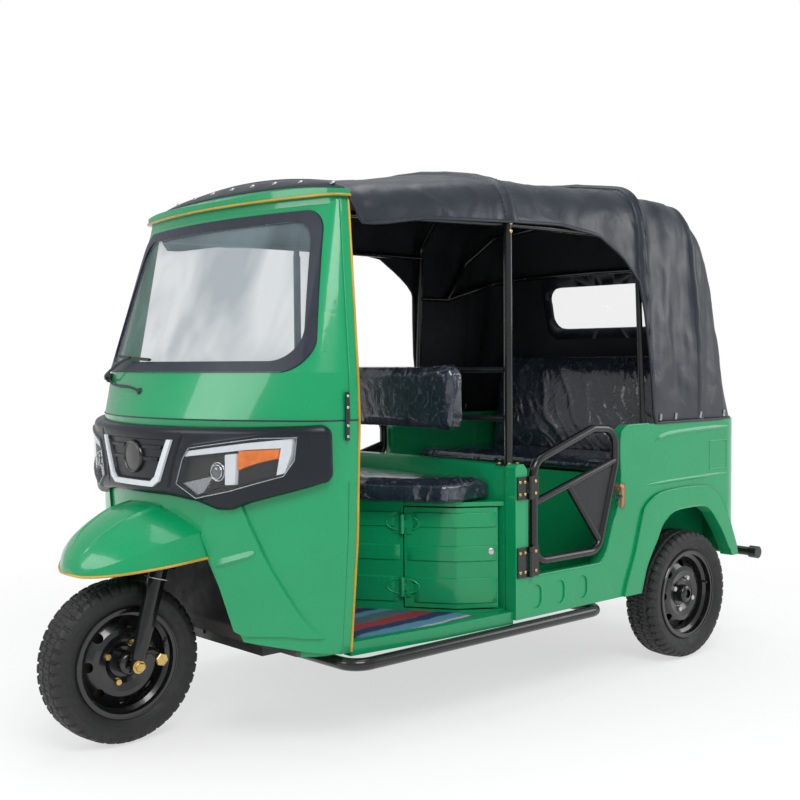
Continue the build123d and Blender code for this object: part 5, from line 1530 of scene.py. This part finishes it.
# grips and levers on the handlebar
BAR_Z, GRIP_RIBS = 0.7863, 16
grips = Build()
for side in (1, -1):
    a = on_fork(side * 0.235, 0.185, BAR_Z)
    b = on_fork(side * 0.175, 0.079, BAR_Z)
    d = b - a
    prof = [(-0.004, 0.0), (-0.004, 0.0185)]
    for k in range(GRIP_RIBS):
        t = d.length * k / GRIP_RIBS
        prof += [(t + 0.001, 0.0166), (t + 0.002, 0.0180), (t + 0.0055, 0.0180), (t + 0.0065, 0.0166)]
    prof += [(d.length, 0.0205), (d.length + 0.006, 0.0205), (d.length + 0.006, 0.0112)]
    grips.lathe(prof, a, d, 28)
grips.make("handlebar_grips", seal_rubber, "steering", 50, "soft_rubber")
levers = Build()
for side in (1, -1):
    levers.tube([on_fork(side * 0.170, 0.060, BAR_Z), on_fork(side * 0.185, 0.060, BAR_Z - 0.028),
                 on_fork(side * 0.225, 0.130, BAR_Z - 0.034), on_fork(side * 0.245, 0.175, BAR_Z - 0.030)], 0.0055, 8)
levers.make("handlebar_levers", steel, "steering", 40, "steel")

# ------------------------------------------------------------------ wheels: nuts, caps, brake plates and valves
drum = Look("brake_drum", (0.030, 0.022, 0.016), rough=0.62, spec=0.3)
drum.layers("noise", 0.0002, 160, 4, vary=(0.5, 30), gloss=(0.1, 60))
NUT_FACE, NUT_CIRCLE = 0.02556, 0.062


def wheel_trim(tag, x, y, body, side, driven):
    """Nuts, hub cap with the rim's lip, brake plate and valve on a wheel's outer side."""
    b = Build()
    for a in turns(4):
        at = Vector((x + side * NUT_FACE, y + NUT_CIRCLE * sin(a + 0.4), WHEEL_R + NUT_CIRCLE * cos(a + 0.4)))
        b.bolt(at, (side, 0, 0), 0.019, 0.013, 0.0125)
    b.make(f"wheel_nuts_{tag}", steel if driven else brass, body, 30, "steel")
    c = Build()
    hub = 0.048 if driven else 0.062
    c.lathe([(hub - 0.004, 0.0345), (hub + 0.001, 0.0335), (hub + 0.006, 0.029), (hub + 0.008, 0.018),
             (hub + 0.0085, 0.016)], (x, y, WHEEL_R), (side, 0, 0), 40)
    c.lathe([(-0.004, 0.1655), (0.0, 0.1690), (0.003, 0.1665), (0.003, 0.163)], (x + side * 0.0555, y, WHEEL_R),
            (side, 0, 0), 96)
    c.make(f"wheel_hub_cap_{tag}", wheel_black, body, 40, "wheel_paint")
    plate = Build()
    plate.lathe([(0.0, 0.079), (0.0, 0.131), (0.006, 0.1325), (0.006, 0.079)], (x - side * 0.008, y, WHEEL_R),
                (side, 0, 0), 64)
    plate.make(f"wheel_brake_plate_{tag}", drum, body, 40, "wheel_paint")
    v = Build()
    v.tube([(x + side * 0.030, y + 0.131, WHEEL_R + 0.03), (x + side * 0.046, y + 0.128, WHEEL_R + 0.03),
            (x + side * 0.056, y + 0.124, WHEEL_R + 0.029)], 0.0042, 8)
    v.make(f"wheel_valve_{tag}", seal_rubber, body, 40, "soft_rubber")


wheel_trim("front", 0.0, FRONT_Y, "front_wheel", 1, False)
for side, tag in SIDES:
    wheel_trim(f"rear_{tag}", side * REAR_X, REAR_Y, f"rear_wheel_{tag}", side, True)

# ------------------------------------------------------------------ tub: rolled edge, pressings, recess
# lines on the tub's side, as y and z: its cut edge, pressed ridges, a recess, and the creases round the wheel's arch
CUT_EDGE = [(-0.041, 0.700), (-0.041, 0.456), (-0.036, 0.443), (-0.022, 0.4355), (0.10, 0.4355), (0.326, 0.4355),
            (0.350, 0.445), (0.372, 0.469), (0.390, 0.512), (0.407, 0.556), (0.437, 0.617), (0.459, 0.716),
            (0.4555, 0.80), (0.455, 0.857), (0.460, 0.880), (0.470, 0.898), (0.486, 0.909), (0.508, 0.9145),
            (0.62, 0.9150)]
UPPER_RIDGE = [(0.652, 0.846), (0.672, 0.857), (0.700, 0.866), (0.740, 0.873), (0.80, 0.877), (0.90, 0.881),
               (1.02, 0.884), (1.135, 0.886)]
LOWER_RIDGE = [(0.586, 0.690), (0.66, 0.693), (0.76, 0.696), (0.90, 0.698), (1.02, 0.700), (1.130, 0.701)]
RECESS = [(1.012, 0.728), (1.012, 0.826), (1.018, 0.832), (1.122, 0.832), (1.127, 0.826), (1.127, 0.728),
          (1.122, 0.723), (1.018, 0.723)]
FLARE = [(0.470, 0.305), (0.490, 0.356), (0.534, 0.453), (0.574, 0.574), (0.603, 0.620), (0.684, 0.656), (0.842, 0.665),
         (0.981, 0.658), (1.047, 0.634), (1.087, 0.600), (1.125, 0.545)]
INNER_ARCH = [(0.562, 0.305), (0.602, 0.403), (0.661, 0.488), (0.696, 0.541), (0.756, 0.579), (0.842, 0.589),
              (0.969, 0.585), (1.021, 0.554), (1.088, 0.480), (1.140, 0.402)]


def long_ridge(b, side, line, half, high):
    """A pressed ridge along the tub's side: steep below, with a long slope above that catches the light."""
    pts = spread(line, 4)
    grid = []
    for dz, k in ((-1, 0.0), (-0.8, 0.45), (-0.5, 0.9), (-0.3, 1.0), (0.75, 0.12), (1, 0.0)):
        row = []
        for n, (y, z) in enumerate(pts):
            end = min(1.0, n / 6, (len(pts) - 1 - n) / 4 + 0.2)
            out = 0.6397 + high * k * end / 1000 - 0.0004 * (k == 0)
            row.append((side * out, y, z + dz * half * (0.35 + 0.65 * end) / 1000))
        grid.append(row)
    b.grid(grid, flip=side < 0)


def spread(line, steps):
    """The line with steps - 1 points put between each two of its own."""
    out = [tuple(line[0])]
    for a, c in zip(line[:-1], line[1:]):
        out += [(a[0] + (c[0] - a[0]) * k / steps, a[1] + (c[1] - a[1]) * k / steps) for k in range(1, steps + 1)]
    return out


for side, tag in SIDES:
    b = Build()
    b.tube([(side * 0.6385, y, z) for y, z in CUT_EDGE], 0.0042, 8, steps=4)
    b.make(f"tub_rolled_edge_{tag}", green, "body", 60, "green_paint")
    p = Build()
    for line, half_, high_ in ((UPPER_RIDGE, 11, 6.0), (LOWER_RIDGE, 7, 4.0)):
        long_ridge(p, side, line, half_, high_)
    for x, line, r, closed, steps in ((0.6382, RECESS, 0.0040, True, 3), (0.6475, FLARE, 0.0040, False, 4),
                                      (0.6475, INNER_ARCH, 0.0038, False, 4)):
        p.tube([(side * x, y, z) for y, z in line], r, 8, loop=closed, steps=steps)
    p.make(f"tub_pressings_{tag}", green, "body", 60, "green_paint")

# ------------------------------------------------------------------ seat box ribs, pockets and lock
PLAN = [(582, -86.3), (490, -220), (335, -318), (200, -404), (120, -450)]
run_ = (Vector(PLAN[1]) - Vector(PLAN[2])).normalized()
out_ = Vector((run_.y, -run_.x))


def seat_strip(b, path, z0, z1, high):
    """A raised band along a run of the box's face, from z0 to z1, faded out at its ends."""
    pts = [Vector(p) for p in path]
    line = []
    for a, c in zip(pts[:-1], pts[1:]):
        n = max(2, int((c - a).length / 12))
        line += [(a + (c - a) * k / n, (c - a).normalized()) for k in range(n)]
    line.append((pts[-1], (pts[-1] - pts[-2]).normalized()))
    rows_s = []
    total = len(line) - 1
    for z, k in ((z0, 0.0), (z0 + 1.2, 0.55), (z0 + 3.5, 1.0), (z1 - 3.5, 1.0), (z1 - 1.2, 0.55), (z1, 0.0)):
        row = []
        for n_, (p, d) in enumerate(line):
            end = min(1.0, n_, total - n_)
            w = high * k * end - 0.25 * (1 - min(1.0, k * end * 4))
            q = p + Vector((d.y, -d.x)) * w
            row.append(Vector((q.x, q.y, z)) / 1000)
        rows_s.append(row)
    b.grid(rows_s)


# each band's foot and top, and how far it stops short of the hinged seam on the box and on the door
RIBS, RIB_HIGH = [(350, 436, 20, 36), (489, 542, 10, 14), (601, 652, 20, 36)], 4.5
fixed, door_ribs = Build(), Build()
for z0, z1, box_gap, door_gap in RIBS:
    seat_strip(fixed, [(124, -447.8), (200, -404), Vector(PLAN[2]) - run_ * box_gap], z0, z1, RIB_HIGH)
    seat_strip(fixed, [(-573, -99), (-490, -220), (-335, -318), (-200, -404), (-124, -447.8)], z0, z1, RIB_HIGH)
    seat_strip(door_ribs, [Vector(PLAN[2]) + run_ * door_gap, PLAN[1], (566.5, -108.5)], z0, z1, RIB_HIGH)
fixed.make("seat_box_ribs", green, "body", 30, "green_paint")
door_ribs.make("seat_box_door_ribs", green, "engine_door", 30, "green_paint")
lock = Build()
lock.lathe([(0, 0.012), (0.004, 0.012), (0.0055, 0.0105), (0.0064, 0.007), (0.0066, 0.0)], (0.5555, -0.1250, 0.522),
           (0.824, -0.566, 0), 24)
lock.make("seat_box_lock", steel, "engine_door", 40, "steel")
# each hinge sits in a pressed oval, half on the box and half on its door
for a0, name, body in ((0.5 * pi, "seat_box_hinge_rims", "body"), (-0.5 * pi, "seat_door_hinge_rims", "engine_door")):
    pockets = Build()
    for z in (402, 614):
        pts = []
        for k in range(15):
            a = a0 + 0.22 + (pi - 0.44) * k / 14
            q = Vector(PLAN[2]) + run_ * 56 * cos(a) + out_ * 2.5
            pts.append(Vector((q.x, q.y, z + 25 * sin(a))) / 1000)
        pockets.tube(pts, 0.0036, 8, steps=2)
    pockets.make(name, green, body, 60, "green_paint")

# ------------------------------------------------------------------ bolts of posts, hinges and latches
POST_X, FOOT_Z = 0.577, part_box("partition")[1][2] - 0.0038  # the posts behind the driver, and their foot plates
HINGE_BOLT_ZS = (0.455, 0.519, 0.712, 0.752)
bolts = Build()
for side in (1, -1):
    for z in HINGE_BOLT_ZS:
        for y in (-0.080, -0.056):
            bolts.dome((side * 0.6453, y, z), (side, 0, 0), 0.0058, 0.004)
    for z in (1.575, 1.602):
        bolts.dome((side * (POST_X + 0.0135), -0.062, z), (side, 0, 0), 0.007, 0.005)
    for y in (-0.083, -0.044):
        for dx in (-0.022, 0.022):
            bolts.bolt((side * (POST_X + dx), y, FOOT_Z + 0.0016), (0, 0, 1), 0.010, 0.005, 0.0075)
bolts.make("body_bolts", brass, "body", 30, "steel")
guard_look = Look("latch_guard", (0.42, 0.24, 0.12), rough=0.4, metal=0.7).vary(0.2, 40).gloss(0.1, 90)
for side, tag in SIDES:
    d = Build()
    for z in HINGE_BOLT_ZS:
        d.dome((side * 0.6452, -0.004, z), (side, 0, 0), 0.0058, 0.004)
    d.make(f"door_bolts_{tag}", brass, f"door_{tag}", 30, "steel")
    guard = Build()
    guard.grid([[(side * x, y, z) for z in (0.622, 0.640, 0.690, 0.708)]
                for x, y in ((0.612, 0.4495), (0.640, 0.4495), (0.6472, 0.4525), (0.6480, 0.462), (0.6455, 0.474))])
    g = guard.make(f"latch_guard_{tag}", guard_look, "body", 30, "steel")
    th = g.modifiers.new("thick", "SOLIDIFY")
    th.thickness = 0.0012
    latch = Build()
    latch.tube([(side * 0.6435, 0.424, 0.664), (side * 0.6475, 0.436, 0.664), (side * 0.6495, 0.447, 0.664)], 0.0062, 8)
    for z in (0.690, 0.640):
        latch.dome((side * 0.6440, 0.430, z), (side, 0, 0), 0.008, 0.005)
    latch.make(f"door_latch_{tag}", black, f"door_{tag}", 40, "black_paint")

# plates at the posts' feet, and the long plate at the cowl's rear edge
plates = Build()


def block(b, lo, hi):
    """A block with small chamfers all round."""
    (x0, y0, z0), (x1, y1, z1), r = lo, hi, 0.0015
    ring = [(x0 + r, y0), (x1 - r, y0), (x1, y0 + r), (x1, y1 - r), (x1 - r, y1), (x0 + r, y1), (x0, y1 - r),
            (x0, y0 + r)]
    cx, cy = (x0 + x1) / 2, (y0 + y1) / 2
    shrunk = [(cx + (x - cx) * (1 - 2 * r / (x1 - x0)), cy + (y - cy) * (1 - 2 * r / (y1 - y0))) for x, y in ring]
    rows_p = [[(x, y, z0) for x, y in shrunk], [(x, y, z0 + r) for x, y in ring], [(x, y, z1 - r) for x, y in ring],
              [(x, y, z1) for x, y in shrunk]]
    base = len(b.v)
    b.grid(rows_p, loop_u=True)
    b.f.append(tuple(base + i for i in reversed(range(8))))
    b.f.append(tuple(base + 24 + i for i in range(8)))


for side in (1, -1):
    x0, x1 = sorted((side * 0.542, side * 0.612))
    block(plates, (x0, -0.090, FOOT_Z - 0.0024), (x1, -0.036, FOOT_Z + 0.0026))
    x0, x1 = sorted((side * 0.6345, side * 0.6405))
    block(plates, (x0, -0.803, 0.925), (x1, -0.789, 1.066))
plates.make("post_feet_and_cowl_plates", black, "body", 30, "black_paint")
plate_screws = Build()
for side in (1, -1):
    for z in (0.937, 0.968, 1.020, 1.053):
        plate_screws.dome((side * 0.6405, -0.796, z), (side, 0, 0), 0.0045, 0.003)
plate_screws.make("cowl_plate_screws", steel, "body", 30, "steel")
